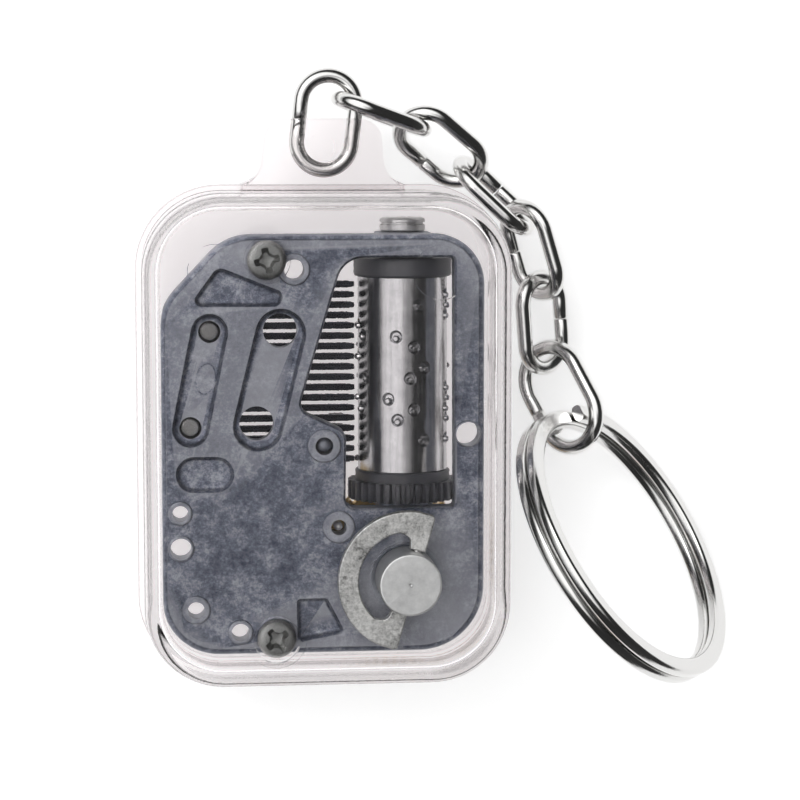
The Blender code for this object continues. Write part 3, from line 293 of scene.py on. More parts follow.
def slab(name, outlines, low, high, edge=0.0, rings=3):
    """A flat piece from closed outlines, the inner ones holes, with rounded edges."""
    curve = bpy.data.curves.new(name, "CURVE")
    curve.dimensions = "2D"
    curve.fill_mode = "BOTH"
    curve.extrude = ((high - low) / 2 - edge) * MM
    curve.bevel_depth = edge * MM
    curve.bevel_resolution = rings
    curve.offset = -edge * MM
    for outline in outlines:
        spline = curve.splines.new("POLY")
        spline.points.add(len(outline) - 1)
        for point, (x, y) in zip(spline.points, outline):
            point.co = (x * MM, y * MM, 0, 1)
        spline.use_cyclic_u = True
    guide = bpy.data.objects.new(name, curve)
    scene.collection.objects.link(guide)
    bpy.context.view_layer.update()
    mesh = bpy.data.meshes.new_from_object(guide.evaluated_get(bpy.context.evaluated_depsgraph_get()))
    bpy.data.objects.remove(guide)
    shape = bmesh.new()
    shape.from_mesh(mesh)
    bmesh.ops.remove_doubles(shape, verts=shape.verts, dist=1e-7)
    bmesh.ops.recalc_face_normals(shape, faces=shape.faces)
    bmesh.ops.translate(shape, verts=shape.verts, vec=(0, 0, (low + high) / 2 * MM))
    shape.to_mesh(mesh)
    shape.free()
    mesh.name = name
    return mesh


def spun(name, profile, steps=72):
    """A turned piece about Z: (radius, height) points, closed on the axis or on themselves."""
    shape = bmesh.new()
    rows = []
    for radius, height_ in profile:
        if radius == 0:
            rows.append([shape.verts.new((0, 0, height_))])
        else:
            rows.append([shape.verts.new((x, y, height_)) for x, y in circle((0, 0), radius, steps)])
    if profile[0][0] and profile[-1][0]:
        rows.append(rows[0])
    for first, second in zip(rows, rows[1:]):
        for i in range(steps):
            corners = [first[(i - 1) % len(first)], first[i % len(first)],
                       second[i % len(second)], second[(i - 1) % len(second)]]
            unique = list(dict.fromkeys(corners))
            if len(unique) > 2:
                shape.faces.new(unique)
    return mesh_from(name, shape)


def at(x, y, z=0.0):
    return Matrix.Translation(Vector((x, y, z)) * MM)


def along_y(x, y, z):
    """A place whose own Z runs along +Y."""
    return at(x, y, z) @ Matrix.Rotation(math.radians(-90), 4, "X")


def along_x(x, y, z):
    """A place whose own Z runs along +X."""
    return at(x, y, z) @ Matrix.Rotation(math.radians(90), 4, "Y")


def placed(mesh, place):
    mesh.transform(place)
    return mesh


FLAT_ANGLE = math.radians(0.2)


def shape_with(mesh, operation, tools):
    """Joins meshes to a solid, or cuts them from it, one after another."""
    target = bpy.data.objects.new("work", mesh)
    scene.collection.objects.link(target)
    for tool_mesh in tools:
        tool = bpy.data.objects.new("tool", tool_mesh)
        scene.collection.objects.link(tool)
        step = target.modifiers.new("step", "BOOLEAN")
        step.operation = operation
        step.object = tool
        step.solver = "MANIFOLD"
        bpy.context.view_layer.update()
        depsgraph = bpy.context.evaluated_depsgraph_get()
        target.data = bpy.data.meshes.new_from_object(target.evaluated_get(depsgraph))
        target.modifiers.clear()
        bpy.data.objects.remove(tool)
    result = target.data
    result.name = mesh.name
    clean = bmesh.new()
    clean.from_mesh(result)
    bmesh.ops.dissolve_limit(clean, angle_limit=FLAT_ANGLE, verts=clean.verts, edges=clean.edges)
    clean.to_mesh(result)
    clean.free()
    bpy.data.objects.remove(target)
    return result


def joined(mesh, *tools):
    return shape_with(mesh, "UNION", tools)


def carved(mesh, *tools):
    return shape_with(mesh, "DIFFERENCE", tools)


def show(name, mesh, finish, body, slot, *nodes, sharp=32):
    """Adds a finished piece: its material, the body it rides on and the nodes it stands for."""
    made = bpy.data.objects.new(name, mesh)
    scene.collection.objects.link(made)
    mesh.materials.clear()
    mesh.materials.append(finish)
    mesh.shade_smooth()
    mesh.set_sharp_from_angle(angle=math.radians(sharp))
    even = made.modifiers.new("even_shading", "WEIGHTED_NORMAL")
    even.keep_sharp = True
    even.weight = 100
    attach(made, body)
    if nodes:
        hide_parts(*nodes)
    return made


def dress(tree, shader, pattern, colours, roughness, metallic=1.0, relief=0.0, relief_pattern=None,
          depth=0.1):
    """Colour, roughness and relief from one pattern. The share of metal is the same all over."""
    tree.links.new(ramp(tree, pattern, colours), shader.inputs["Base Color"])
    tree.links.new(ramp(tree, pattern, roughness), shader.inputs["Roughness"])
    shader.inputs["Metallic"].default_value = metallic
    if relief:
        height = pattern if relief_pattern is None else relief_pattern
        bump = add_node(tree, "ShaderNodeBump",
                        {"Height": height, "Strength": relief, "Distance": depth * MM})
        tree.links.new(bump.outputs["Normal"], shader.inputs["Normal"])


clear_finish, tree, shader = new_finish("clear polystyrene")
dress(tree, shader, noise(tree, 260.0, 3.0), [(0.0, (0.952, 0.932, 0.936)), (1.0, (0.975, 0.957, 0.96))],
      [(0.3, 0.0), (0.8, 0.02)], metallic=0.0, relief=0.03, depth=0.2)
shader.inputs["Transmission Weight"].default_value = 1.0
shader.inputs["IOR"].default_value = 1.24


def case_outline(outset):
    half_w = CASE_WIDTH / 2 + outset
    half_h = CASE_HEIGHT / 2 + outset
    return box_outline(-half_w, half_w, -half_h, half_h, CASE_CORNER + outset, 20)


def tab_outline():
    """The tab's cheek: a square-shouldered tongue that flares into the case's top edge."""
    foot = CASE_HEIGHT / 2 - CASE_WALL / 2
    flare = CASE_HEIGHT / 2 + FLANGE_LIP
    spread = TAB_HALF_WIDTH + TAB_FOOT
    right_side = [(spread, foot, 0), (spread, flare, 0), (TAB_HALF_WIDTH + 0.3, flare + 0.8, TAB_CORNER),
                  (TAB_HALF_WIDTH - 0.2, TAB_TOP, TAB_CORNER)]
    left_side = [(-x, y, radius) for x, y, radius in reversed(right_side)]
    return rounded([left_side[-1], *right_side, *left_side[:-1]])


def shell_levels(outer_z, sign, base, edge, base_z):
    """Outlines of one shell's skin from the seam out to its flat face, its edge rounded."""
    levels = [(case_outline(base), base_z), (case_outline(base), outer_z - sign * edge)]
    for k in range(1, EDGE_STEPS + 1):
        turn = math.radians(90 * k / EDGE_STEPS)
        levels.append((case_outline(base - edge * (1 - math.cos(turn))),
                       outer_z - sign * edge * (1 - math.sin(turn))))
    return levels


def make_shell(name, outer_z, sign):
    """One clear shell: sign is +1 for the front one and -1 for the back one."""
    seam = SEAM_Z + sign * SEAM_GAP
    skin = loft(name, shell_levels(outer_z, sign, 0.0, CASE_EDGE, seam))
    low, high = sorted((seam, seam + sign * FLANGE_THICK))
    cheek = SEAM_Z + sign * (TAB_GAP / 2 + TAB_CHEEK)
    cheek_low, cheek_high = sorted((cheek, cheek - sign * TAB_CHEEK))
    skin = joined(skin, slab("flange", [case_outline(FLANGE_LIP)], low, high, 0.2),
                  slab("cheek", [tab_outline()], cheek_low, cheek_high, 0.25))
    roof = outer_z - sign * CASE_WALL
    skin = carved(skin, loft("cavity", shell_levels(roof, sign, -CASE_WALL, CAVITY_EDGE, seam - sign)))
    for radius in MARK_RINGS:
        rim = [circle((0, POST_Y), radius + 0.07), circle((0, POST_Y), radius - 0.07)]
        skin = carved(skin, slab("mark_ring", rim, *sorted((cheek - sign * 0.12, cheek + sign * 0.5))))
    low, high = sorted((seam, cheek - sign * TAB_CHEEK / 2))
    return joined(skin, slab("post", [circle((0, POST_Y), POST_RADIUS)], low, high))


HEAD_SEAT_Z = CASE_DEPTH - 1.4
SHANK_RADIUS = 0.95
FIT = 0.08
SLEEVE_RADIUS = 2.9
COUNTERBORE_RADIUS = 2.2
CASE_BOSS_RADIUS = 3.0
CASE_BOSS_TOP_Z = 7.0
NECK_RADIUS = 2.0
PILOT_DEPTH = 4.3
STEM_CLEARANCE = 0.5
front = make_shell("front_shell_clear", CASE_DEPTH, 1)
back = make_shell("back_shell_clear", 0.0, -1)
for place in SCREW_PLACES:
    shank_hole = [circle(place, SHANK_RADIUS + FIT)]
    front = joined(front, slab("sleeve", [circle(place, SLEEVE_RADIUS)], PLATE_FRONT_Z + 0.38, ROOF_Z + 0.4))
    front = carved(front, slab("bore", shank_hole, PLATE_FRONT_Z, CASE_DEPTH + 1),
                   slab("counterbore", [circle(place, COUNTERBORE_RADIUS)], HEAD_SEAT_Z, CASE_DEPTH + 1))
    back = joined(back, slab("boss", [circle(place, CASE_BOSS_RADIUS)], CASE_WALL / 2, CASE_BOSS_TOP_Z, 0.2),
                  slab("neck", [circle(place, NECK_RADIUS)], CASE_WALL / 2, PLATE_BACK_Z - FIT, 0.15))
    back = carved(back, slab("pilot", shank_hole, PLATE_BACK_Z - PILOT_DEPTH, PLATE_BACK_Z + 1))
stem_hole = circle((STEM_X, STEM_Y), STEM_RADIUS + STEM_CLEARANCE)
front = carved(front, slab("stem_hole", [stem_hole], ROOF_Z - 1, CASE_DEPTH + 1))
EJECTOR_MARKS = ((-10.6, 16.1), (10.7, 15.9), (-11.4, -16.5), (10.3, -16.9))
MARK_PROFILE = [(0, 0.3), (2.5, 0.3), (2.62, 0), (2.54, -0.07), (0, -0.07)]
for place in EJECTOR_MARKS:
    front = joined(front, placed(spun("mark", MARK_PROFILE), at(*place, ROOF_Z)))
show("front_shell_clear", front, clear_finish, "case", "clear_plastic", "front_shell")
show("back_shell_clear", back, clear_finish, "case", "clear_plastic", "back_shell")

# ---- case screws ---------------------------------------------------------------------------
# Two cross-head screws, nickel plated, clamp the front shell and the bedplate to the back
# shell's bosses. Their pan heads sit in counterbores in the front.

nickel_finish, tree, shader = new_finish("polished nickel plate")
dress(tree, shader, noise(tree, 900.0, 5.0, 0.6), [(0.3, (0.60, 0.60, 0.59)), (0.7, (0.74, 0.73, 0.72))],
      [(0.25, 0.06), (0.75, 0.16)], relief=0.06)

screw_finish, tree, shader = new_finish("mottled screw nickel")
dress(tree, shader, noise(tree, 1500.0, 6.0, 0.7),
      [(0.4, (0.03, 0.03, 0.03)), (0.5, (0.30, 0.30, 0.295)), (0.62, (0.82, 0.82, 0.80))],
      [(0.3, 0.45), (0.7, 0.14)], metallic=0.95, relief=0.5)

HEAD_RADIUS = 1.85
HEAD_HEIGHT = 1.1
SCREW_TIP_Z = PLATE_BACK_Z - 4.0
CASE_THREADS = 9
CASE_THREAD_PITCH = 0.7
CASE_THREAD_DEPTH = 0.22
CROSS_TURNS = (12, 38)
for index, (place, turn) in enumerate(zip(SCREW_PLACES, CROSS_TURNS), 1):
    seat = HEAD_SEAT_Z + FIT
    top = seat + HEAD_HEIGHT
    profile = [(0, top), (1.0, top), (1.4, top - 0.08), (1.65, top - 0.26), (1.79, top - 0.5),
               (HEAD_RADIUS, top - 0.75), (HEAD_RADIUS, seat + 0.1), (HEAD_RADIUS - 0.1, seat),
               (SHANK_RADIUS, seat)]
    for k in range(CASE_THREADS):
        z = seat - 0.6 - CASE_THREAD_PITCH * k
        profile += [(SHANK_RADIUS, z), (SHANK_RADIUS - CASE_THREAD_DEPTH, z - 0.3)]
    profile += [(0.4, SCREW_TIP_Z + 0.1), (0, SCREW_TIP_Z)]
    screw = placed(spun(f"case_screw_{index}_crosshead", profile, 64), at(*place))
    arms = []
    for quarter in (0, 90):
        blade = loft("blade", [(box_outline(-0.7, 0.7, -0.2, 0.2, 0.14, 3), top - 1.0),
                               (box_outline(-1.3, 1.3, -0.36, 0.36, 0.16, 3), top + 0.1)])
        arms.append(placed(blade, at(*place) @ Matrix.Rotation(math.radians(turn + quarter), 4, "Z")))
    cone = placed(spun("cone", [(0, 0.1), (0.8, 0.1), (0.5, -0.95), (0, -1.15)], 32), at(*place, top))
    screw = carved(screw, *arms, cone)
    show(f"case_screw_{index}_crosshead", screw, screw_finish, "case", "nickel_plate",
         f"case_screw_{index}")

# ---- bedplate ------------------------------------------------------------------------------
# One zinc die casting carries the whole movement. Its front has drafted pockets, raised bosses
# and a rim, and two ears behind it hold the drum's arbor.

PLATE_X = -0.42
PLATE_Y = -0.5
PLATE_WIDTH = 30.86
PLATE_HEIGHT = 40.1
POCKET_DEPTH = 0.9
BOSS_RISE = 0.3
DRUM_X = 7.7
DRUM_Z = 10.3
DRUM_TOP_Y = 15.3
DRUM_LENGTH = 18.8
ARBOR_RADIUS = 0.6
WIND_RADIUS = 1.2
SMALL_SHANK = 0.5
COMB_TOP_Z = DRUM_Z + 0.25
COMB_SCREWS = ((-11.14, 10.35), (-12.99, 1.21))
COMB_SCREW_RADIUS = 0.85



def own_space(tree):
    """Coordinates in metres, in the part's own frame."""
    return add_node(tree, "ShaderNodeTexCoord").outputs["Object"]


def blended(tree, share, first, second):
    """Two patterns mixed: the share is the second one's."""
    return add_node(tree, "ShaderNodeMix", {"Factor": share, "A": first, "B": second}).outputs["Result"]


zinc_finish, tree, shader = new_finish("cast zinc")
spot = own_space(tree)
cloud = noise(tree, 420.0, 4.0, 0.6, spot)
grain = noise(tree, 1900.0, 8.0, 0.88, spot)
speck = add_node(tree, "ShaderNodeTexVoronoi", {"Vector": spot, "Scale": 2600.0})
edge = add_node(tree, "ShaderNodeNewGeometry").outputs["Pointiness"]
base = ramp(tree, blended(tree, 0.66, cloud, grain),
            [(0.36, (0.035, 0.045, 0.068)), (0.5, (0.175, 0.195, 0.25)), (0.61, (0.52, 0.545, 0.60))])
# Sharp outer edges and rims are mixed towards a light grey: a painted highlight along the casting's edges.
painted_edge_highlight = ramp(tree, edge, [(0.5, 0.0), (0.56, 0.6)])
mix = add_node(tree, "ShaderNodeMix", data_type="RGBA")
tree.links.new(painted_edge_highlight, mix.inputs["Factor"])
tree.links.new(base, mix.inputs["A"])
mix.inputs["B"].default_value = (0.52, 0.54, 0.58, 1.0)
tree.links.new(mix.outputs["Result"], shader.inputs["Base Color"])
shader.inputs["Metallic"].default_value = 0.75
tree.links.new(ramp(tree, grain, [(0.3, 0.34), (0.7, 0.56)]), shader.inputs["Roughness"])
rough = add_node(tree, "ShaderNodeBump", {"Height": grain, "Strength": 0.55, "Distance": 0.1 * MM})
pits = add_node(tree, "ShaderNodeBump", {"Height": speck.outputs["Distance"], "Strength": 0.12,
                                         "Distance": 0.1 * MM, "Normal": rough.outputs["Normal"]})
tree.links.new(pits.outputs["Normal"], shader.inputs["Normal"])


def on_plate(points):
    return [(x + PLATE_X, y + PLATE_Y) for x, y in points]


right = PLATE_WIDTH / 2
top = PLATE_HEIGHT / 2
plate_edge = on_plate(rounded([(-right, -top, 5.5), (right, -top, 6.2), (right, top, 4.8),
                               (-right + 6.35, top, 5.5), (-right, top - 6.76, 5.5)], 16))
window = on_plate(rounded([(12.5, 17.8, 0.4), (2.0, 17.8, 2.6), (-2.35, 3.4, 1.2), (2.19, 1.3, 1.3),
                           (2.1, -6.1, 1.0), (12.6, -6.1, 0.4)], 12))
RIM_STEP = 0.5


def stepped(name, outline, steps):
    """A solid whose skin steps in from an outline: steps are (inset, height)."""
    return loft(name, [(inset(outline, distance), z) for distance, z in steps])


plate = stepped("bedplate_casting", plate_edge,
                [(0.12, PLATE_BACK_Z), (0, PLATE_BACK_Z + 0.12), (0, 15.5), (0.08, 15.62),
                 (RIM_STEP - 0.06, 15.66), (RIM_STEP, 15.72), (RIM_STEP + 0.03, 15.92),
                 (RIM_STEP + 0.12, PLATE_FRONT_Z)])
WINDOW_STEPS = [(0, 12.5), (0, 15.7), (-0.1, 15.86), (-0.22, 15.95), (-0.3, 16.6)]
plate = carved(plate, stepped("window", window, WINDOW_STEPS))
# (x, y, boss radius, hole radius)
BOSSES = ((0.07, -0.04, 1.6, 0.85), (1.43, -7.86, 1.55, 0.75), (-13.62, -6.33, 1.15, 0.75),
          (-13.58, -9.7, 1.25, 1.0), (-12.19, -15.63, 1.35, 0.8), (-8.0, -17.86, 1.2, 0.85),
          (-2.72, 16.74, 1.5, 0.95), (13.83, 0.94, 1.3, 1.15))
rise = PLATE_FRONT_Z + BOSS_RISE
for x, y, boss_radius, _ in BOSSES:
    ring = spun("boss", [(0, rise), (boss_radius - 0.14, rise), (boss_radius - 0.04, rise - 0.05),
                         (boss_radius, rise - 0.14), (boss_radius + 0.06, PLATE_FRONT_Z - 0.4),
                         (0, PLATE_FRONT_Z - 0.4)])
    plate = joined(plate, placed(ring, at(x + PLATE_X, y + PLATE_Y)))
EAR_HALF_WIDTH = 2.6
EAR_LOW_Z = PLATE_BACK_Z - 5.9
EAR_BOTTOM_Y = -7.28
ear_outline = box_outline(DRUM_X - EAR_HALF_WIDTH, DRUM_X + EAR_HALF_WIDTH, EAR_LOW_Z,
                          PLATE_BACK_Z + 0.5, 0.8)
# The ears' outline is drawn in X and Z, so it is stood up about X.
stood = Matrix(((1, 0, 0, 0), (0, 0, 1, 0), (0, 1, 0, 0), (0, 0, 0, 1)))
for low_y, high_y in ((17.36, PLATE_Y + top - 0.02), (EAR_BOTTOM_Y, -6.43)):
    ear = slab("ear", [ear_outline], low_y, high_y, 0.1)
    ear.transform(stood)
    ear.flip_normals()
    plate = joined(plate, ear)
    arbor_hole = slab("hole", [circle((0, 0), ARBOR_RADIUS + FIT)], -1, high_y - low_y + 1)
    plate = carved(plate, placed(arbor_hole, along_y(DRUM_X, low_y, DRUM_Z)))
PLATE_LEFT_X = PLATE_X - right
seat_edge = [(PLATE_LEFT_X + 0.3, -2.53), (-9.97, -2.53), (-7.9, 14.5), (PLATE_LEFT_X + 4.0, 14.5),
             (PLATE_LEFT_X + 0.3, 11.95)]
plate = joined(plate, slab("comb_seat", [seat_edge], COMB_TOP_Z + FIT, PLATE_BACK_Z + 0.5, 0.1))
POCKETS = (stadium((-10.72, 10.85), (-12.57, 1.71), 1.7), stadium((-4.0, 10.65), (-6.19, 1.9), 2.35),
           stadium((-12.3, -2.67), (-10.2, -2.67), 1.65),
           rounded([(-12.6, 13.3, 0.6), (-9.9, 17.0, 0.9), (-3.6, 14.5, 0.7), (-4.2, 13.3, 0.7)]),
           rounded([(-2.57, -14.8, 0.4), (0.29, -14.8, 0.4), (2.0, -18.1, 0.4), (-2.48, -18.9, 0.4)]))
floor_z = PLATE_FRONT_Z - POCKET_DEPTH
POCKET_STEPS = [(0.42, floor_z), (0.3, floor_z + 0.04), (0.16, floor_z + 0.2), (0.05, 15.8), (-0.06, 15.95),
                (-0.16, 16.6)]
for pocket in POCKETS:
    plate = carved(plate, stepped("pocket", on_plate(pocket), POCKET_STEPS))
oval = [(0.98 * x - 11.5 + 0.16 * y, 1.52 * y + 5.88) for x, y in circle((0, 0), 1.0)]
groove = slab("groove", [oval, inset(oval, 0.14)], floor_z - 0.14, floor_z + 0.3)
plate = carved(plate, groove)
VIEW_HOLES = ((-4.02, 10.94), (-6.31, 2.1))
VIEW_HOLE_RADIUS = 1.62
through = [circle((x + PLATE_X, y + PLATE_Y), r) for x, y, _, r in BOSSES]
through += [circle((x + PLATE_X, y + PLATE_Y), VIEW_HOLE_RADIUS) for x, y in VIEW_HOLES]
through += [circle(place, COMB_SCREW_RADIUS + 0.2) for place in COMB_SCREWS]
through += [circle(place, SHANK_RADIUS + 2 * FIT) for place in SCREW_PLACES]
through += [circle((STEM_X, STEM_Y), WIND_RADIUS + FIT)]
plate = carved(plate, *[slab("through", [outline], COMB_TOP_Z - 1, PLATE_FRONT_Z + 1) for outline in through])
BRACKET_SCREWS = ((-8.2, -7.6), (-4.4, -8.0))
COCK_POST = (-4.2, -5.2)
BLIND_DEPTH = 1.4
for place in (*BRACKET_SCREWS, COCK_POST):
    blind = [circle(place, SMALL_SHANK + FIT)]
    plate = carved(plate, slab("blind", blind, PLATE_BACK_Z - 1, PLATE_BACK_Z + BLIND_DEPTH))
show("bedplate_casting", plate, zinc_finish, "case", "cast_zinc", "bedplate", sharp=12)
DOWEL_RADIUS = 0.78
dowel_top = PLATE_FRONT_Z - 0.25
dowel_foot = PLATE_BACK_Z + 0.05
dowel = spun("plate_dowel", [(0, dowel_top), (0.3, dowel_top - 0.05), (0.55, dowel_top - 0.2),
                             (0.72, dowel_top - 0.5), (DOWEL_RADIUS, dowel_top - 0.8),
                             (DOWEL_RADIUS, dowel_foot), (0, dowel_foot)])
show("plate_dowel", placed(dowel, at(BOSSES[0][0] + PLATE_X, BOSSES[0][1] + PLATE_Y)), zinc_finish, "case",
     "cast_zinc")

# ---- comb ----------------------------------------------------------------------------------
# A hardened steel comb is screwed up against its seat under the bedplate. Its teeth are milled
# from one plate, each a little longer than the last, and the low ones carry lead weights.

COMB_TEETH = 18
COMB_PITCH = 1.0
COMB_TOOTH = 0.66
COMB_TOP_Y = 14.5
COMB_TIP_X = 3.0
COMB_LOW_Z = DRUM_Z - 0.25
ROOT_TOP_X = -7.2
ROOT_BOTTOM_X = -9.3
BASE_WIDTH = 5.4

# The comb's colour is near black: painted shade for the comb lying in the shadow under the bedplate, not the
# steel's own colour.
comb_finish, tree, shader = new_finish("comb steel darkened as painted shade")
lines = add_node(tree, "ShaderNodeMapping", {"Vector": own_space(tree), "Scale": (120.0, 6000.0, 6000.0)})
dress(tree, shader, noise(tree, 1.0, 4.0, vector=lines.outputs["Vector"]),
      [(0.3, (0.010, 0.011, 0.015)), (0.7, (0.035, 0.037, 0.047))], [(0.3, 0.28), (0.7, 0.48)],
      metallic=0.8, relief=0.15)


def comb_root(y):
    share = (COMB_TOP_Y - y) / ((COMB_TEETH - 1) * COMB_PITCH)
    return ROOT_TOP_X + (ROOT_BOTTOM_X - ROOT_TOP_X) * share


low_y = COMB_TOP_Y - (COMB_TEETH - 1) * COMB_PITCH - COMB_TOOTH / 2
high_y = COMB_TOP_Y + COMB_TOOTH / 2
outline = [(comb_root(low_y) - BASE_WIDTH, low_y)]
for i in reversed(range(COMB_TEETH)):
    middle = COMB_TOP_Y - i * COMB_PITCH
    half = COMB_TOOTH / 2
    outline += rounded([(comb_root(middle), middle - half, 0.0 if i == COMB_TEETH - 1 else 0.12),
                        (COMB_TIP_X - 0.7, middle - half, 0), (COMB_TIP_X, middle - half * 0.72, 0.08),
                        (COMB_TIP_X, middle + half * 0.72, 0.08), (COMB_TIP_X - 0.7, middle + half, 0),
                        (comb_root(middle), middle + half, 0.12)], 3)[0 if i < COMB_TEETH - 1 else 1:]
outline += [(comb_root(high_y) - BASE_WIDTH + 1.5, high_y),
            (comb_root(COMB_SCREWS[0][1]) - BASE_WIDTH, COMB_SCREWS[0][1] + 1.6)]
comb = slab("steel_comb", [outline, *[circle(place, COMB_SCREW_RADIUS + FIT) for place in COMB_SCREWS]],
            COMB_LOW_Z, COMB_TOP_Z, 0.04, 1)
show("steel_comb", comb, comb_finish, "case", "comb_steel", "comb")

COMB_THREADS = 8
COMB_THREAD_PITCH = 0.5
for index, place in enumerate(COMB_SCREWS, 1):
    top = PLATE_FRONT_Z - POCKET_DEPTH - 0.15
    head = COMB_LOW_Z - FIT
    radius = COMB_SCREW_RADIUS
    profile = [(0, top), (0.62, top), (0.76, top - 0.05), (radius, top - 0.16)]
    for k in range(COMB_THREADS):
        z = top - 0.4 - COMB_THREAD_PITCH * k
        profile += [(radius, z), (radius - 0.1, z - COMB_THREAD_PITCH / 2)]
    profile += [(radius, head), (radius + 0.65, head), (radius + 0.75, head - 0.1),
                (radius + 0.75, head - 0.5), (radius + 0.4, head - 0.8), (0, head - 0.8)]
    screw = placed(spun(f"comb_screw_{index}_turned", profile, 64), at(*place))
    slot_cut = placed(slab("slot", [box_outline(-2, 2, -0.16, 0.16)], head - 1.2, head - 0.45), at(*place)
                      @ Matrix.Rotation(math.radians(40 * index), 4, "Z"))
    show(f"comb_screw_{index}_turned", carved(screw, slot_cut), screw_finish, "case", "nickel_plate",
         f"comb_screw_{index}")

lead_finish, tree, shader = new_finish("dull lead")
dress(tree, shader, noise(tree, 2400.0, 5.0), [(0.3, 0.09), (0.7, 0.24)], [(0.3, 0.5), (0.7, 0.72)],
      metallic=0.7)
WEIGHTS = 5
WEIGHT_END_X = COMB_TIP_X - 1
WEIGHT_HALF = 0.27
WEIGHT_DEEP = 1.5
weight_top = COMB_LOW_Z - FIT / 2
for i in range(WEIGHTS):
    middle = COMB_TOP_Y - (COMB_TEETH - 1 - i) * COMB_PITCH
    length = 3.0 - 0.4 * i
    weight_edge = box_outline(WEIGHT_END_X - length, WEIGHT_END_X, middle - WEIGHT_HALF,
                              middle + WEIGHT_HALF, 0.1, 4)
    weight = slab(f"comb_weight_{i + 1}_cast", [weight_edge], weight_top - WEIGHT_DEEP, weight_top, 0.06)
    show(f"comb_weight_{i + 1}_cast", weight, lead_finish, "case", "lead", f"comb_weight_{i + 1}")

# ---- drum ----------------------------------------------------------------------------------
# The drum is a thin polished steel sleeve with its pins pressed out of it, closed by a dark
# moulded cap above and a moulded gear below. It turns on a steel arbor in the bedplate's ears.

DRUM_RADIUS = 4.35
DRUM_WALL = 0.45
CAP_RADIUS = 4.75
CAP_HEIGHT = 1.9
COLLAR_HEIGHT = 1.0
GEAR_WIDTH = 1.85
GEAR_TEETH = 34
DRUM_LOW_Y = DRUM_TOP_Y - DRUM_LENGTH
WHEEL_TEETH = 48
PINION_LEAVES = 6
GOVERNOR_X = 1.01
GOVERNOR_Y = -8.36
MODULE = 2 * math.hypot(STEM_X - GOVERNOR_X, STEM_Y - GOVERNOR_Y) / (WHEEL_TEETH + PINION_LEAVES)
TOOTH_RISE = 0.9 * MODULE
TOOTH_FALL = 1.15 * MODULE

drum_finish, tree, shader = new_finish("drawn drum steel")
spot = own_space(tree)
drawn = add_node(tree, "ShaderNodeMapping", {"Vector": spot, "Scale": (3000.0, 160.0, 3000.0)})
streak = noise(tree, 1.0, 4.0, vector=drawn.outputs["Vector"])
smear = noise(tree, 420.0, 5.0, 0.65, spot)
dress(tree, shader, blended(tree, 0.6, streak, smear),
      [(0.3, (0.36, 0.36, 0.37)), (0.7, (0.56, 0.56, 0.565))], [(0.3, 0.13), (0.7, 0.26)], relief=0.10)

moulding_finish, tree, shader = new_finish("dark moulding")
dress(tree, shader, noise(tree, 900.0, 5.0), [(0.3, (0.045, 0.047, 0.055)), (0.7, (0.085, 0.088, 0.10))],
      [(0.3, 0.32), (0.7, 0.5)], metallic=0.0, relief=0.15)

inside = DRUM_RADIUS - DRUM_WALL
sleeve = spun("drum_sleeve_pinned", [(inside, DRUM_LENGTH), (DRUM_RADIUS - 0.06, DRUM_LENGTH),
                                     (DRUM_RADIUS, DRUM_LENGTH - 0.06), (DRUM_RADIUS, 0.06),
                                     (DRUM_RADIUS - 0.06, 0), (inside, 0)], 144)
# Each pin is (comb track, turn in degrees from the front); the first ones are seen in the window.
PINS = [(2, 16), (5, -14), (6, 9), (8, 24), (9, 4), (11, -24), (12, 9), (13, -12), (15, 23),
        (1, 66), (2, 71), (3, 66), (10, 68), (11, 72), (12, 66), (13, 70), (15, 68)]
PINS_A_TRACK = 3
spread = random.Random(18)
for track in range(COMB_TEETH):
    for _ in range(PINS_A_TRACK):
        PINS.append((track, 95 + spread.uniform(0, 210)))
PIN_PROFILE = [(0, DRUM_RADIUS + 0.32), (0.2, DRUM_RADIUS + 0.3), (0.3, DRUM_RADIUS + 0.18),
               (0.33, DRUM_RADIUS - 0.36), (0, DRUM_RADIUS - 0.36)]
DIMPLE_PROFILE = [(0, DRUM_RADIUS - 0.34), (0.4, DRUM_RADIUS - 0.32), (0.56, DRUM_RADIUS - 0.16),
                  (0.66, DRUM_RADIUS + 0.04), (0.7, DRUM_RADIUS + 0.3), (0, DRUM_RADIUS + 0.3)]
pin_tools = []
dimple_tools = []
for track, turn in PINS:
    height_up = DRUM_LENGTH - (DRUM_TOP_Y - COMB_TOP_Y) - track * COMB_PITCH
    stand = (at(0, 0, height_up) @ Matrix.Rotation(math.radians(-90 + turn), 4, "Z")
             @ Matrix.Rotation(math.radians(90), 4, "Y"))
    pin_tools.append(placed(spun("pin", PIN_PROFILE, 20), stand))
    dimple_tools.append(placed(spun("dimple", DIMPLE_PROFILE, 28), stand @ at(-0.16, 0, 0)))
sleeve = joined(carved(sleeve, *dimple_tools), *pin_tools)
show("drum_sleeve_pinned", placed(sleeve, along_y(DRUM_X, DRUM_LOW_Y, DRUM_Z)), drum_finish, "drum",
     "polished_steel", "drum_sleeve", sharp=40)

PRESS_FIT = 0.02
bore = ARBOR_RADIUS + PRESS_FIT
plug = inside - PRESS_FIT
cap = spun("drum_cap_moulded", [(bore, CAP_HEIGHT - 0.3), (2.6, CAP_HEIGHT - 0.3), (2.9, CAP_HEIGHT),
                                (CAP_RADIUS - 0.35, CAP_HEIGHT), (CAP_RADIUS - 0.1, CAP_HEIGHT - 0.1),
                                (CAP_RADIUS, CAP_HEIGHT - 0.32), (CAP_RADIUS, 0.2), (CAP_RADIUS - 0.12, 0.02),
                                (plug, 0.02), (plug, -2.0), (bore, -2.0)], 128)
show("drum_cap_moulded", placed(cap, along_y(DRUM_X, DRUM_TOP_Y, DRUM_Z)), moulding_finish, "drum",
     "dark_plastic", "drum_cap")


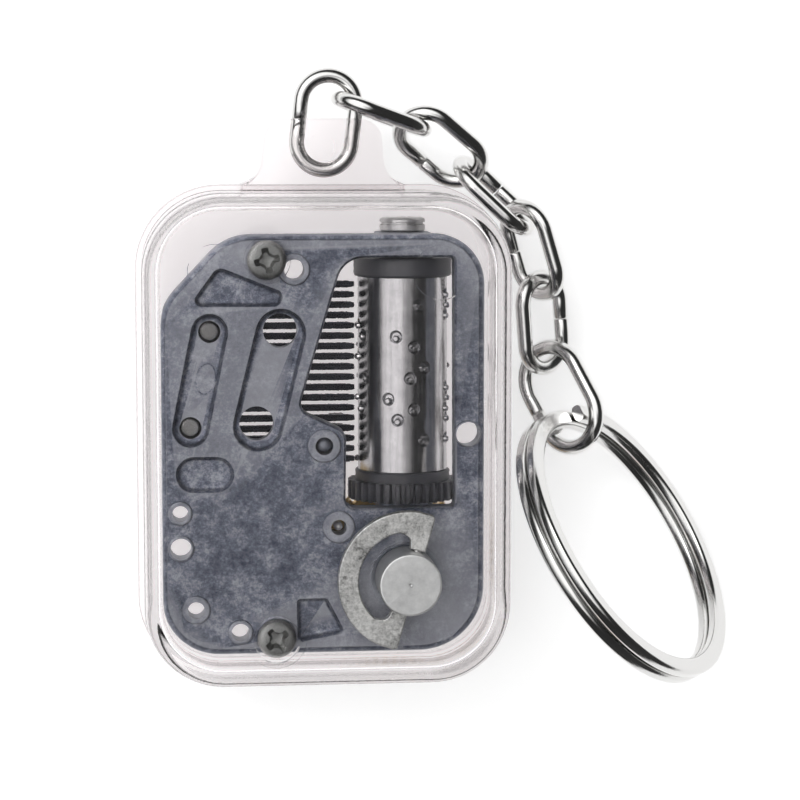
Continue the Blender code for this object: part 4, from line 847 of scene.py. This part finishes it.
def gear_outline(teeth, outer, root, tip_share=0.32, root_share=0.36, start=0.0):
    """A toothed outline with curved flanks and a tooth's middle at the start angle."""
    points = []
    pitch = 2 * math.pi / teeth
    for i in range(teeth):
        middle = start + i * pitch
        base_half = (1 - root_share) / 2
        tip_half = tip_share / 2
        waist = (outer * 0.4 + root * 0.6, base_half * 0.86)
        belly = (outer * 0.75 + root * 0.25, base_half * 0.5 + tip_half * 0.62)
        side = [(root, base_half), waist, belly, (outer, tip_half)]
        for radius, share in [(r, -s) for r, s in side] + side[::-1]:
            turn = middle + pitch * share
            points.append((radius * math.cos(turn), radius * math.sin(turn)))
    return points


pitch_radius = GEAR_TEETH * MODULE / 2
teeth = gear_outline(GEAR_TEETH, pitch_radius + TOOTH_RISE, pitch_radius - TOOTH_FALL, start=math.pi / 2)
gear = slab("drum_gear_moulded", [teeth, circle((0, 0), bore, 32)], 0, GEAR_WIDTH, 0.05, 1)
gear_top = DRUM_LOW_Y - COLLAR_HEIGHT
collar_radius = DRUM_RADIUS + 0.25
collar_top = COLLAR_HEIGHT - PRESS_FIT
collar = spun("collar", [(bore, COLLAR_HEIGHT + 2.0), (plug, COLLAR_HEIGHT + 2.0), (plug, collar_top),
                         (collar_radius - 0.12, collar_top), (collar_radius, collar_top - 0.12),
                         (collar_radius, -0.3), (bore, -0.3)], 128)
gear = joined(gear, placed(collar, at(0, 0, GEAR_WIDTH)))
show("drum_gear_moulded", placed(gear, along_y(DRUM_X, gear_top - GEAR_WIDTH, DRUM_Z)), moulding_finish,
     "drum", "dark_plastic", "drum_gear")

steel_finish, tree, shader = new_finish("turned steel")
spot = own_space(tree)
fine = noise(tree, 1300.0, 6.0, 0.65, spot)
dress(tree, shader, blended(tree, 0.4, fine, noise(tree, 300.0, 2.0, vector=spot)),
      [(0.35, (0.56, 0.56, 0.56)), (0.65, (0.76, 0.76, 0.755))], [(0.3, 0.34), (0.7, 0.5)],
      metallic=0.85, relief=0.2, relief_pattern=fine)

arbor_length = PLATE_Y + PLATE_HEIGHT / 2 + 0.52 - EAR_BOTTOM_Y
arbor = spun("drum_arbor_turned", [(0, arbor_length), (ARBOR_RADIUS - 0.1, arbor_length),
                                   (ARBOR_RADIUS, arbor_length - 0.1), (ARBOR_RADIUS, 0.1),
                                   (ARBOR_RADIUS - 0.1, 0), (0, 0)], 48)
show("drum_arbor_turned", placed(arbor, along_y(DRUM_X, EAR_BOTTOM_Y, DRUM_Z)), steel_finish, "drum",
     "polished_steel", "drum_arbor")
bush_bore = ARBOR_RADIUS + FIT
BUSH_PROFILE = [(0, 1.3), (1.9, 1.3), (2.1, 1.24), (2.2, 1.1), (2.2, 0.86), (2.02, 0.8), (2.02, 0.66),
                (2.2, 0.6), (2.2, 0.1), (2.1, 0), (bush_bore, 0), (bush_bore, 0.65), (0, 0.65)]
bush = spun("drum_bush_turned", BUSH_PROFILE, 96)
show("drum_bush_turned", placed(bush, along_y(DRUM_X, PLATE_Y + PLATE_HEIGHT / 2 + FIT, DRUM_Z)),
     steel_finish, "case", "polished_steel", "drum_bush")

# ---- spring barrel and winding stem --------------------------------------------------------
# A brass wheel and a pressed steel cup hold the mainspring behind the bedplate. The stem runs
# through them to the front, where its round head carries the key, and a click stops it turning back.

brass_finish, tree, shader = new_finish("turned brass")
dress(tree, shader, noise(tree, 700.0, 5.0, vector=own_space(tree)),
      [(0.3, (0.52, 0.36, 0.14)), (0.7, (0.78, 0.58, 0.27))], [(0.3, 0.2), (0.7, 0.36)], relief=0.1)

blue_finish, tree, shader = new_finish("blued spring steel")
dress(tree, shader, noise(tree, 500.0, 3.0), [(0.3, (0.10, 0.13, 0.20)), (0.7, (0.24, 0.27, 0.34))],
      [(0.3, 0.22), (0.7, 0.38)])

WHEEL_LOW_Z = 3.45
WHEEL_HIGH_Z = 5.05
CUP_RADIUS = 5.6
CUP_WALL = 0.45
CUP_LOW_Z = 5.3
CUP_HIGH_Z = 12.4
hole = WIND_RADIUS + FIT
stem_line = at(STEM_X, STEM_Y)
wheel_radius = WHEEL_TEETH * MODULE / 2
wheel_turn = math.acos((DRUM_X - STEM_X) / wheel_radius) + math.pi / WHEEL_TEETH
teeth = gear_outline(WHEEL_TEETH, wheel_radius + TOOTH_RISE, wheel_radius - TOOTH_FALL, start=wheel_turn)
wheel = slab("barrel_wheel_cut", [teeth, circle((0, 0), hole)], WHEEL_LOW_Z, WHEEL_HIGH_Z, 0.05, 1)
wheel = carved(wheel, placed(spun("dish", [(2.2, 0.4), (5.6, 0.4), (5.4, -0.35), (2.4, -0.35)], 96),
                             at(0, 0, WHEEL_LOW_Z)))
show("barrel_wheel_cut", placed(wheel, stem_line), brass_finish, "barrel", "brass", "barrel_wheel")
cup_inside = CUP_RADIUS - CUP_WALL
cup = spun("barrel_cup_pressed", [(cup_inside, CUP_HIGH_Z), (CUP_RADIUS - 0.05, CUP_HIGH_Z),
                                  (CUP_RADIUS, CUP_HIGH_Z - 0.05), (CUP_RADIUS, CUP_LOW_Z + 0.6),
                                  (CUP_RADIUS - 0.18, CUP_LOW_Z + 0.18), (CUP_RADIUS - 0.6, CUP_LOW_Z),
                                  (hole, CUP_LOW_Z), (hole, CUP_LOW_Z + CUP_WALL),
                                  (cup_inside, CUP_LOW_Z + CUP_WALL)], 128)
show("barrel_cup_pressed", placed(cup, stem_line), steel_finish, "barrel", "polished_steel", "barrel_cup")
lid_radius = cup_inside - PRESS_FIT
lid_low = CUP_HIGH_Z - 0.5
lid = spun("barrel_lid_pressed", [(hole, CUP_HIGH_Z), (lid_radius - 0.04, CUP_HIGH_Z),
                                  (lid_radius, CUP_HIGH_Z - 0.06), (lid_radius, lid_low),
                                  (hole, lid_low)], 128)
show("barrel_lid_pressed", placed(lid, stem_line), steel_finish, "barrel", "polished_steel", "barrel_lid")

SPRING_TURNS = 6
SPRING_STEPS = 48
SPRING_START = 1.6
SPRING_HALF_THICK = 0.1
SPRING_Z = (5.95, 11.7)
strip = []
for i in range(SPRING_TURNS * SPRING_STEPS + 1):
    share = i / (SPRING_TURNS * SPRING_STEPS)
    strip.append((SPRING_START + (cup_inside - 2.0) * share, 2 * math.pi * SPRING_TURNS * share))
outer_line = [(r + SPRING_HALF_THICK, turn) for r, turn in strip]
inner_line = [(r - SPRING_HALF_THICK, turn) for r, turn in reversed(strip)]
coil = [(r * math.cos(turn), r * math.sin(turn)) for r, turn in outer_line + inner_line]
show("mainspring_coiled", placed(slab("mainspring_coiled", [coil], *SPRING_Z), stem_line), blue_finish,
     "barrel", "spring_steel", "mainspring")

STEM_TOP_Z = 21.4
STEM_HEAD_Z = 16.5
STEM_FOOT_Z = 2.85
stem = spun("winding_stem_turned", [(0, STEM_TOP_Z - 0.22), (0.12, STEM_TOP_Z - 0.16), (0.22, STEM_TOP_Z),
                                    (STEM_RADIUS - 0.22, STEM_TOP_Z), (STEM_RADIUS - 0.08, STEM_TOP_Z - 0.05),
                                    (STEM_RADIUS, STEM_TOP_Z - 0.2), (STEM_RADIUS, STEM_HEAD_Z + 0.1),
                                    (STEM_RADIUS - 0.1, STEM_HEAD_Z), (WIND_RADIUS, STEM_HEAD_Z),
                                    (WIND_RADIUS, STEM_FOOT_Z + 0.1), (WIND_RADIUS - 0.1, STEM_FOOT_Z),
                                    (0, STEM_FOOT_Z)], 128)
PIVOT_Z = 18.95
PIVOT_RADIUS = 0.35
KEY_TILT = math.radians(73.7)
pivot_line = Matrix.Rotation(KEY_TILT, 4, "Z")
across = [Matrix.Rotation(math.radians(90 * side), 4, "Y") for side in (1, -1)]
for turned in across:
    drill = slab("drill", [circle((0, 0), PIVOT_RADIUS + FIT / 2, 32)], STEM_RADIUS - 0.9, STEM_RADIUS + 1)
    stem = carved(stem, placed(drill, at(0, 0, PIVOT_Z) @ pivot_line @ turned))
show("winding_stem_turned", placed(stem, stem_line), steel_finish, "stem", "polished_steel", "winding_stem")

RATCHET_TEETH = 12
RATCHET_TIP = 2.4
RATCHET_ROOT = 1.9
RATCHET_Z = (12.75, 13.25)
saw = []
for i in range(RATCHET_TEETH):
    turn = 2 * math.pi * i / RATCHET_TEETH
    saw += [(radius * math.cos(angle), radius * math.sin(angle))
            for radius, angle in ((RATCHET_TIP, turn), (RATCHET_ROOT, turn + 0.08))]
ratchet = slab("ratchet_wheel_cut", [saw, circle((0, 0), WIND_RADIUS + 0.01)], *RATCHET_Z, 0.03, 1)
show("ratchet_wheel_cut", placed(ratchet, stem_line), brass_finish, "stem", "brass", "ratchet_wheel")
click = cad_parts["click_spring"]
click.data.materials.clear()
click.data.materials.append(blue_finish)

# ---- folding key ---------------------------------------------------------------------------
# The key is a half-moon stamped from sheet steel. Two pins on its straight side sit in holes
# across the stem's head, so that it folds flat on the case or stands up to be turned.

KEY_OUTER = 6.7
KEY_INNER = 4.75
KEY_CHORD = 0.75
arm = STEM_RADIUS + 0.12
key_outline = rounded([(-6.66, -KEY_CHORD, 0.35), *[(x, y, 0) for x, y in arc((0, 0), KEY_OUTER, 172, 8, 40)],
                       (6.66, -KEY_CHORD, 0.35), (arm, -KEY_CHORD, 0), (arm, KEY_CHORD, 0), (4.1, 1.0, 0.7),
                       *[(x, y, 0) for x, y in arc((0, 0), KEY_INNER, 26, 154, 36)],
                       (-4.1, 1.0, 0.7), (-arm, KEY_CHORD, 0), (-arm, -KEY_CHORD, 0)], 6)
KEY_THICK = 1.0
key = slab("folding_key_stamped", [key_outline], -KEY_THICK / 2, KEY_THICK / 2, 0.14, 3)
for turned in across:
    pin = slab("pin", [circle((0, 0), PIVOT_RADIUS, 32)], STEM_RADIUS - 0.8, STEM_RADIUS + 1, 0.05)
    key = joined(key, placed(pin, turned))
key_finish, tree, shader = new_finish("tumbled steel stamping")
spot = own_space(tree)
pit = noise(tree, 2600.0, 5.0, 0.75, spot)
dress(tree, shader, blended(tree, 0.35, pit, noise(tree, 240.0, 2.0, vector=spot)),
      [(0.34, (0.10, 0.098, 0.096)), (0.45, (0.42, 0.417, 0.41)), (0.6, (0.72, 0.715, 0.70))],
      [(0.35, 0.55), (0.65, 0.32)], metallic=0.85, relief=0.45, relief_pattern=pit)
show("folding_key_stamped", placed(key, at(STEM_X, STEM_Y, PIVOT_Z) @ pivot_line), key_finish, "key",
     "polished_steel", "folding_key")

# ---- governor ------------------------------------------------------------------------------
# A brass worm wheel on a steel arbor drives a steel worm, whose thin fly beats the air and holds
# the speed. A cast bracket and a brass cock hold them, each put on with cheese-head screws.

WORM_WHEEL_TEETH = 30
WORM_WHEEL_RADIUS = 2.35
WORM_WHEEL_Z = 8.1
WORM_WHEEL_THICK = 0.8
GOVERNOR_ARBOR = 0.4
COCK_Z = 2.2
COCK_THICK = 0.8
WORM_Y = GOVERNOR_Y - WORM_WHEEL_RADIUS - 0.6
WORM_Z = WORM_WHEEL_Z + WORM_WHEEL_THICK / 2
WORM_RIGHT_X = GOVERNOR_X + 0.25
WORM_LENGTH = 2.6
WORM_RADIUS = 0.55
WORM_THREADS = 5
WORM_PIVOT = 0.25
LUG_THICK = 0.45
LUGS_X = (-8.59, -2.04, 1.36)
FLY_LEFT_X = -7.89
FLY_RIGHT_X = -2.29
FLY_RADIUS = 2.5
BRACKET_HIGH_Z = PLATE_BACK_Z - FIT
BRACKET_LOW_Z = BRACKET_HIGH_Z - 1.7

barrel_side = math.atan2(STEM_Y - GOVERNOR_Y, STEM_X - GOVERNOR_X)
wheel_pitch = 2 * math.pi / WHEEL_TEETH
wheel_phase = (barrel_side + math.pi - wheel_turn) / wheel_pitch
leaf_pitch = 2 * math.pi / PINION_LEAVES
leaf_start = barrel_side + (wheel_phase - math.floor(wheel_phase) - 0.5) * leaf_pitch
pinion_radius = PINION_LEAVES * MODULE / 2
leaves = gear_outline(PINION_LEAVES, pinion_radius + TOOTH_RISE, pinion_radius - TOOTH_FALL, 0.24, 0.5,
                      leaf_start)
arbor_top = PLATE_FRONT_Z - 0.3
arbor = spun("governor_arbor_cut", [(0, arbor_top), (0.12, arbor_top), (GOVERNOR_ARBOR, arbor_top - 0.22),
                                    (GOVERNOR_ARBOR, COCK_Z + 0.25), (GOVERNOR_ARBOR - 0.12, COCK_Z + 0.1),
                                    (0, COCK_Z + 0.1)], 32)
arbor = joined(arbor, slab("leaves", [leaves], WHEEL_LOW_Z + 0.1, WHEEL_HIGH_Z + 0.6, 0.05, 1))
governor_line = at(GOVERNOR_X, GOVERNOR_Y)
show("governor_arbor_cut", placed(arbor, governor_line), steel_finish, "governor", "polished_steel",
     "governor_arbor")
rows = []
lead_turn = 2 * math.pi / WORM_WHEEL_TEETH * 0.35
WORM_TOOTH = 0.27
for z, shrink in ((0, 0.1), (0.1, 0), (0.4, 0.03), (0.7, 0), (WORM_WHEEL_THICK, 0.1)):
    teeth = gear_outline(WORM_WHEEL_TEETH, WORM_WHEEL_RADIUS - shrink, WORM_WHEEL_RADIUS - WORM_TOOTH,
                         0.28, 0.4, lead_turn * (z / WORM_WHEEL_THICK - 0.5))
    rows.append((teeth, WORM_WHEEL_Z + z))
arbor_bore = slab("bore", [circle((0, 0), GOVERNOR_ARBOR + 0.01, 32)], WORM_WHEEL_Z - 1, WORM_WHEEL_Z + 2)
dish = placed(spun("dish", [(0.9, 0.4), (1.75, 0.4), (1.65, -0.2), (1.0, -0.2)], 48), at(0, 0, WORM_WHEEL_Z))
worm_wheel = carved(loft("worm_wheel_cut", rows), arbor_bore, dish)
show("worm_wheel_cut", placed(worm_wheel, governor_line), brass_finish, "governor", "brass", "worm_wheel")


def threaded(name, low, high, core, crest, turns, steps=24, rows_per_turn=12):
    """A rod with one helical thread along Z."""
    count = int(turns * rows_per_turn)
    levels = []
    for row in range(count + 1):
        share = row / count
        fade = min(1.0, 6 * min(share, 1 - share))
        ring = []
        for k in range(steps):
            turn = 2 * math.pi * k / steps
            phase = (turns * share - k / steps) % 1.0
            ridge = max(0.0, 1 - abs(phase - 0.5) * 2.6)
            radius = core + (crest - core) * min(1.0, ridge * 1.6) * fade
            ring.append((radius * math.cos(turn), radius * math.sin(turn)))
        levels.append((ring, low + (high - low) * share))
    return loft(name, levels)


left_end = LUGS_X[0]
right_end = LUGS_X[2] + LUG_THICK
spindle = spun("spindle", [(0, right_end), (WORM_PIVOT - 0.06, right_end), (WORM_PIVOT, right_end - 0.06),
                           (WORM_PIVOT, left_end + 0.06), (WORM_PIVOT - 0.06, left_end), (0, left_end)], 24)
screw_thread = threaded("worm_cut", WORM_RIGHT_X - WORM_LENGTH, WORM_RIGHT_X, WORM_RADIUS - 0.2, WORM_RADIUS,
                        WORM_THREADS)
show("worm_cut", placed(joined(screw_thread, spindle), along_x(0, WORM_Y, WORM_Z)), steel_finish, "fly_shaft",
     "polished_steel", "worm")
FLY_THICK = 0.35
HUB_RADIUS = 0.65
hub_bore = WORM_PIVOT + 0.01
fly = slab("fly_stamped", [box_outline(-FLY_RADIUS, FLY_RADIUS, FLY_LEFT_X, FLY_RIGHT_X, 0.5, 6)],
           -FLY_THICK / 2, FLY_THICK / 2, 0.05, 1)
fly.transform(Matrix.Rotation(math.radians(-90), 4, "Z"))
hub = spun("hub", [(hub_bore, FLY_RIGHT_X), (HUB_RADIUS - 0.08, FLY_RIGHT_X),
                   (HUB_RADIUS, FLY_RIGHT_X - 0.08), (HUB_RADIUS, FLY_LEFT_X + 0.08),
                   (HUB_RADIUS - 0.08, FLY_LEFT_X), (hub_bore, FLY_LEFT_X)], 32)
bore = slab("bore", [circle((0, 0), hub_bore, 24)], FLY_LEFT_X - 1, FLY_RIGHT_X + 1)
fly = carved(joined(fly, placed(hub, along_x(0, 0, 0))), placed(bore, along_x(0, 0, 0)))
show("fly_stamped", placed(fly, at(0, WORM_Y, WORM_Z)), brass_finish, "fly_shaft", "brass", "fly")

ARM_LOW_Y = WORM_Y - 1.0
ARM_HIGH_Y = WORM_Y + 1.7
EAR_RIGHT_X = BRACKET_SCREWS[1][0] + 1.5
EAR_HIGH_Y = -6.5
bracket_edge = rounded([(left_end, ARM_LOW_Y, 0.3), (right_end, ARM_LOW_Y, 0.3), (right_end, ARM_HIGH_Y, 0.3),
                        (EAR_RIGHT_X, ARM_HIGH_Y, 0.4), (EAR_RIGHT_X, EAR_HIGH_Y, 0.9),
                        (left_end, EAR_HIGH_Y, 0.9)], 6)
bracket = slab("governor_bracket_cast", [bracket_edge], BRACKET_LOW_Z, BRACKET_HIGH_Z, 0.12)
lug_edge = box_outline(-0.6, 0.6, WORM_Z - 0.9, BRACKET_LOW_Z + 0.4, 0.25, 4)
# The lugs' outline is drawn in Y and Z, so it is stood up across X.
stood = Matrix(((0, 0, 1, 0), (1, 0, 0, WORM_Y * MM), (0, 1, 0, 0), (0, 0, 0, 1)))
for x in LUGS_X:
    bracket = joined(bracket, placed(slab("lug", [lug_edge], x, x + LUG_THICK, 0.06, 1), stood))
bearing = slab("bearing", [circle((0, 0), WORM_PIVOT + FIT / 2, 24)], left_end - 1, right_end + 1)
screw_holes = [slab("hole", [circle(place, SMALL_SHANK + FIT, 32)], BRACKET_LOW_Z - 1, BRACKET_HIGH_Z + 1)
               for place in BRACKET_SCREWS]
bracket = carved(bracket, placed(bearing, along_x(0, WORM_Y, WORM_Z)), *screw_holes)
show("governor_bracket_cast", bracket, zinc_finish, "case", "cast_zinc", "governor_bracket")

GOVERNOR_PLACE = (GOVERNOR_X, GOVERNOR_Y)
COCK_RADIUS = 1.0
cock = slab("governor_cock_milled", [stadium(GOVERNOR_PLACE, COCK_POST, COCK_RADIUS)], COCK_Z,
            COCK_Z + COCK_THICK, 0.08)
cock = joined(cock, slab("post", [circle(COCK_POST, COCK_RADIUS)], COCK_Z + COCK_THICK / 2, BRACKET_HIGH_Z))
for place, radius in ((COCK_POST, SMALL_SHANK), (GOVERNOR_PLACE, GOVERNOR_ARBOR)):
    cock = carved(cock, slab("hole", [circle(place, radius + FIT, 32)], COCK_Z - 1, PLATE_FRONT_Z))
show("governor_cock_milled", cock, brass_finish, "case", "brass", "governor_cock")

SMALL_HEAD = SMALL_SHANK + 0.4
SMALL_HEAD_HEIGHT = 0.5
SMALL_THREAD = 0.3
tip_z = PLATE_BACK_Z + 1.2
for name, place, head_z in (("bracket_screw_1", BRACKET_SCREWS[0], BRACKET_LOW_Z - FIT),
                            ("bracket_screw_2", BRACKET_SCREWS[1], BRACKET_LOW_Z - FIT),
                            ("cock_screw", COCK_POST, COCK_Z - FIT)):
    screw = threaded(f"{name}_turned", head_z - 0.2, tip_z, SMALL_SHANK - 0.09, SMALL_SHANK,
                     (tip_z - head_z) / SMALL_THREAD, 24, 10)
    head_low = head_z - SMALL_HEAD_HEIGHT
    head = spun("head", [(0, head_z), (SMALL_HEAD - 0.06, head_z), (SMALL_HEAD, head_z - 0.06),
                         (SMALL_HEAD, head_low + 0.12), (SMALL_HEAD - 0.12, head_low), (0, head_low)], 48)
    notch = placed(slab("notch", [box_outline(-1, 1, -0.1, 0.1)], head_low - 0.2, head_low + 0.22),
                   Matrix.Rotation(math.radians(70 + 900 * place[0]), 4, "Z"))
    show(f"{name}_turned", placed(carved(joined(screw, head), notch), at(*place)), nickel_finish, "case",
         "nickel_plate", name)

# ---- chain ---------------------------------------------------------------------------------
# Seven oval links are bent from round wire and plated: each is closed with a butt joint in one
# of its long sides. The first hangs on the tab's post and the larger last one is the jump link.

LINK_WIRE = 1.5
LINK_SIZE = (10.6, 6.8)
JUMP_SIZE = (12.1, 8.3)
JUMP_SHIFT = 0.32
FIRST_LINK = ((0.45, 30.0, 9.0), (0.12, 1.0, 0.0))
CHAIN_PLACES = ((2.24, 32.13, 9.41), (9.49, 29.57, 7.57), (14.23, 25.72, 6.08), (20.26, 20.0, 6.63),
                (21.84, 14.9, 6.14), (22.67, 5.55, 5.35), (24.95, 0.68, 7.9))
LAYS = (90, 36, 110, 56, 143, 42)
CUT_GAP = 0.08


def sweep_wire(name, points, section):
    """A wire along points, its section square to the path and upright, as section(share) gives it."""
    shape = bmesh.new()
    last = len(points) - 1
    rings = []
    for i, point in enumerate(points):
        along = (Vector(points[min(i + 1, last)]) - Vector(points[max(i - 1, 0)])).normalized()
        side = along.cross(Vector((0, 0, 1))).normalized()
        up = side.cross(along)
        rings.append([shape.verts.new(Vector(point) + side * a + up * b) for a, b in section(i / last)])
    for first, second in zip(rings, rings[1:]):
        for k in range(len(first)):
            shape.faces.new((first[k - 1], first[k], second[k], second[k - 1]))
    shape.faces.new(rings[0])
    shape.faces.new(rings[-1])
    return mesh_from(name, shape)


def link_mesh(name, size):
    """One oval link, its length along X, cut through the middle of its -Y side."""
    half_l = (size[0] - LINK_WIRE) / 2
    half_w = (size[1] - LINK_WIRE) / 2
    straight = half_l - half_w
    line = [(CUT_GAP / 2, -half_w), (CUT_GAP / 2 + 0.1, -half_w)]
    line += arc((straight, 0), half_w, -90, 90, 36) + arc((-straight, 0), half_w, 90, 270, 36)
    line += [(-CUT_GAP / 2 - 0.1, -half_w), (-CUT_GAP / 2, -half_w)]
    ends = LINK_WIRE / 2 - 0.07

    def section(share):
        radius = ends if share in (0, 1) else LINK_WIRE / 2
        return circle((0, 0), radius, 40)

    return sweep_wire(name, [(x, y, 0) for x, y in line], section)


def lay_along(middle, along):
    """A place with X along a link and its plane level."""
    x_axis = Vector(along).normalized()
    z_axis = (Vector((0, 0, 1)) - x_axis * x_axis.z).normalized()
    y_axis = z_axis.cross(x_axis)
    return at(*middle) @ Matrix((x_axis, y_axis, z_axis)).transposed().to_4x4()


def hang_link(number, size, middle, along, roll):
    """Shows one link of the chain, turned by its roll about its own length."""
    name = f"link_{number}"
    place = lay_along(middle, along) @ Matrix.Rotation(math.radians(roll), 4, "X")
    link = placed(link_mesh(f"{name}_bent", size), place)
    show(f"{name}_bent", link, nickel_finish, name, "nickel_plate", name, sharp=50)


hang_link(1, LINK_SIZE, *FIRST_LINK, 180)
for number, roll in enumerate(LAYS, 2):
    start, end = Vector(CHAIN_PLACES[number - 2]), Vector(CHAIN_PLACES[number - 1])
    along = (end - start).normalized()
    jump = number == len(LAYS) + 1
    middle = (start + end) / 2 + along * (JUMP_SHIFT if jump else 0)
    hang_link(number, JUMP_SIZE if jump else LINK_SIZE, middle, along, roll)

# ---- split ring ----------------------------------------------------------------------------
# The ring is two full turns of flattened spring wire, plated. Its two ends lie against the
# neighbouring turn, so that keys can be wound on.

RING_CENTRE = (28.95, -10.6, 14.9)
RING_RADIUS = 13.75
RING_WIDE = 1.75
RING_THICK = 1.2
RING_GAP = 0.12
RING_TURNS = 2.0
RING_START = 150.0
RING_STEPS = 144
RING_HEADING = -52.6
RING_LEAN = -62.0
pitch = RING_THICK + RING_GAP
count = int(RING_TURNS * RING_STEPS)
path = []
for i in range(count + 1):
    turn = math.radians(RING_START) + 2 * math.pi * RING_TURNS * i / count
    climb = (i / count - 0.5) * pitch * RING_TURNS
    path.append((RING_RADIUS * math.cos(turn), RING_RADIUS * math.sin(turn), climb))


def ring_section(share):
    """The flat wire's rounded section, eased at its two cut ends."""
    trim = 0.08 if share in (0, 1) else 0.0
    half_wide, half_thick = RING_WIDE / 2 - trim, RING_THICK / 2 - trim
    return box_outline(-half_wide, half_wide, -half_thick, half_thick, 0.42, 6)


ring = sweep_wire("split_ring_wound", path, ring_section)
place = (at(*RING_CENTRE) @ Matrix.Rotation(math.radians(RING_HEADING), 4, "Z")
         @ Matrix.Rotation(math.radians(RING_LEAN), 4, "X"))
show("split_ring_wound", placed(ring, place), nickel_finish, "split_ring", "nickel_plate", "split_ring",
     sharp=50)
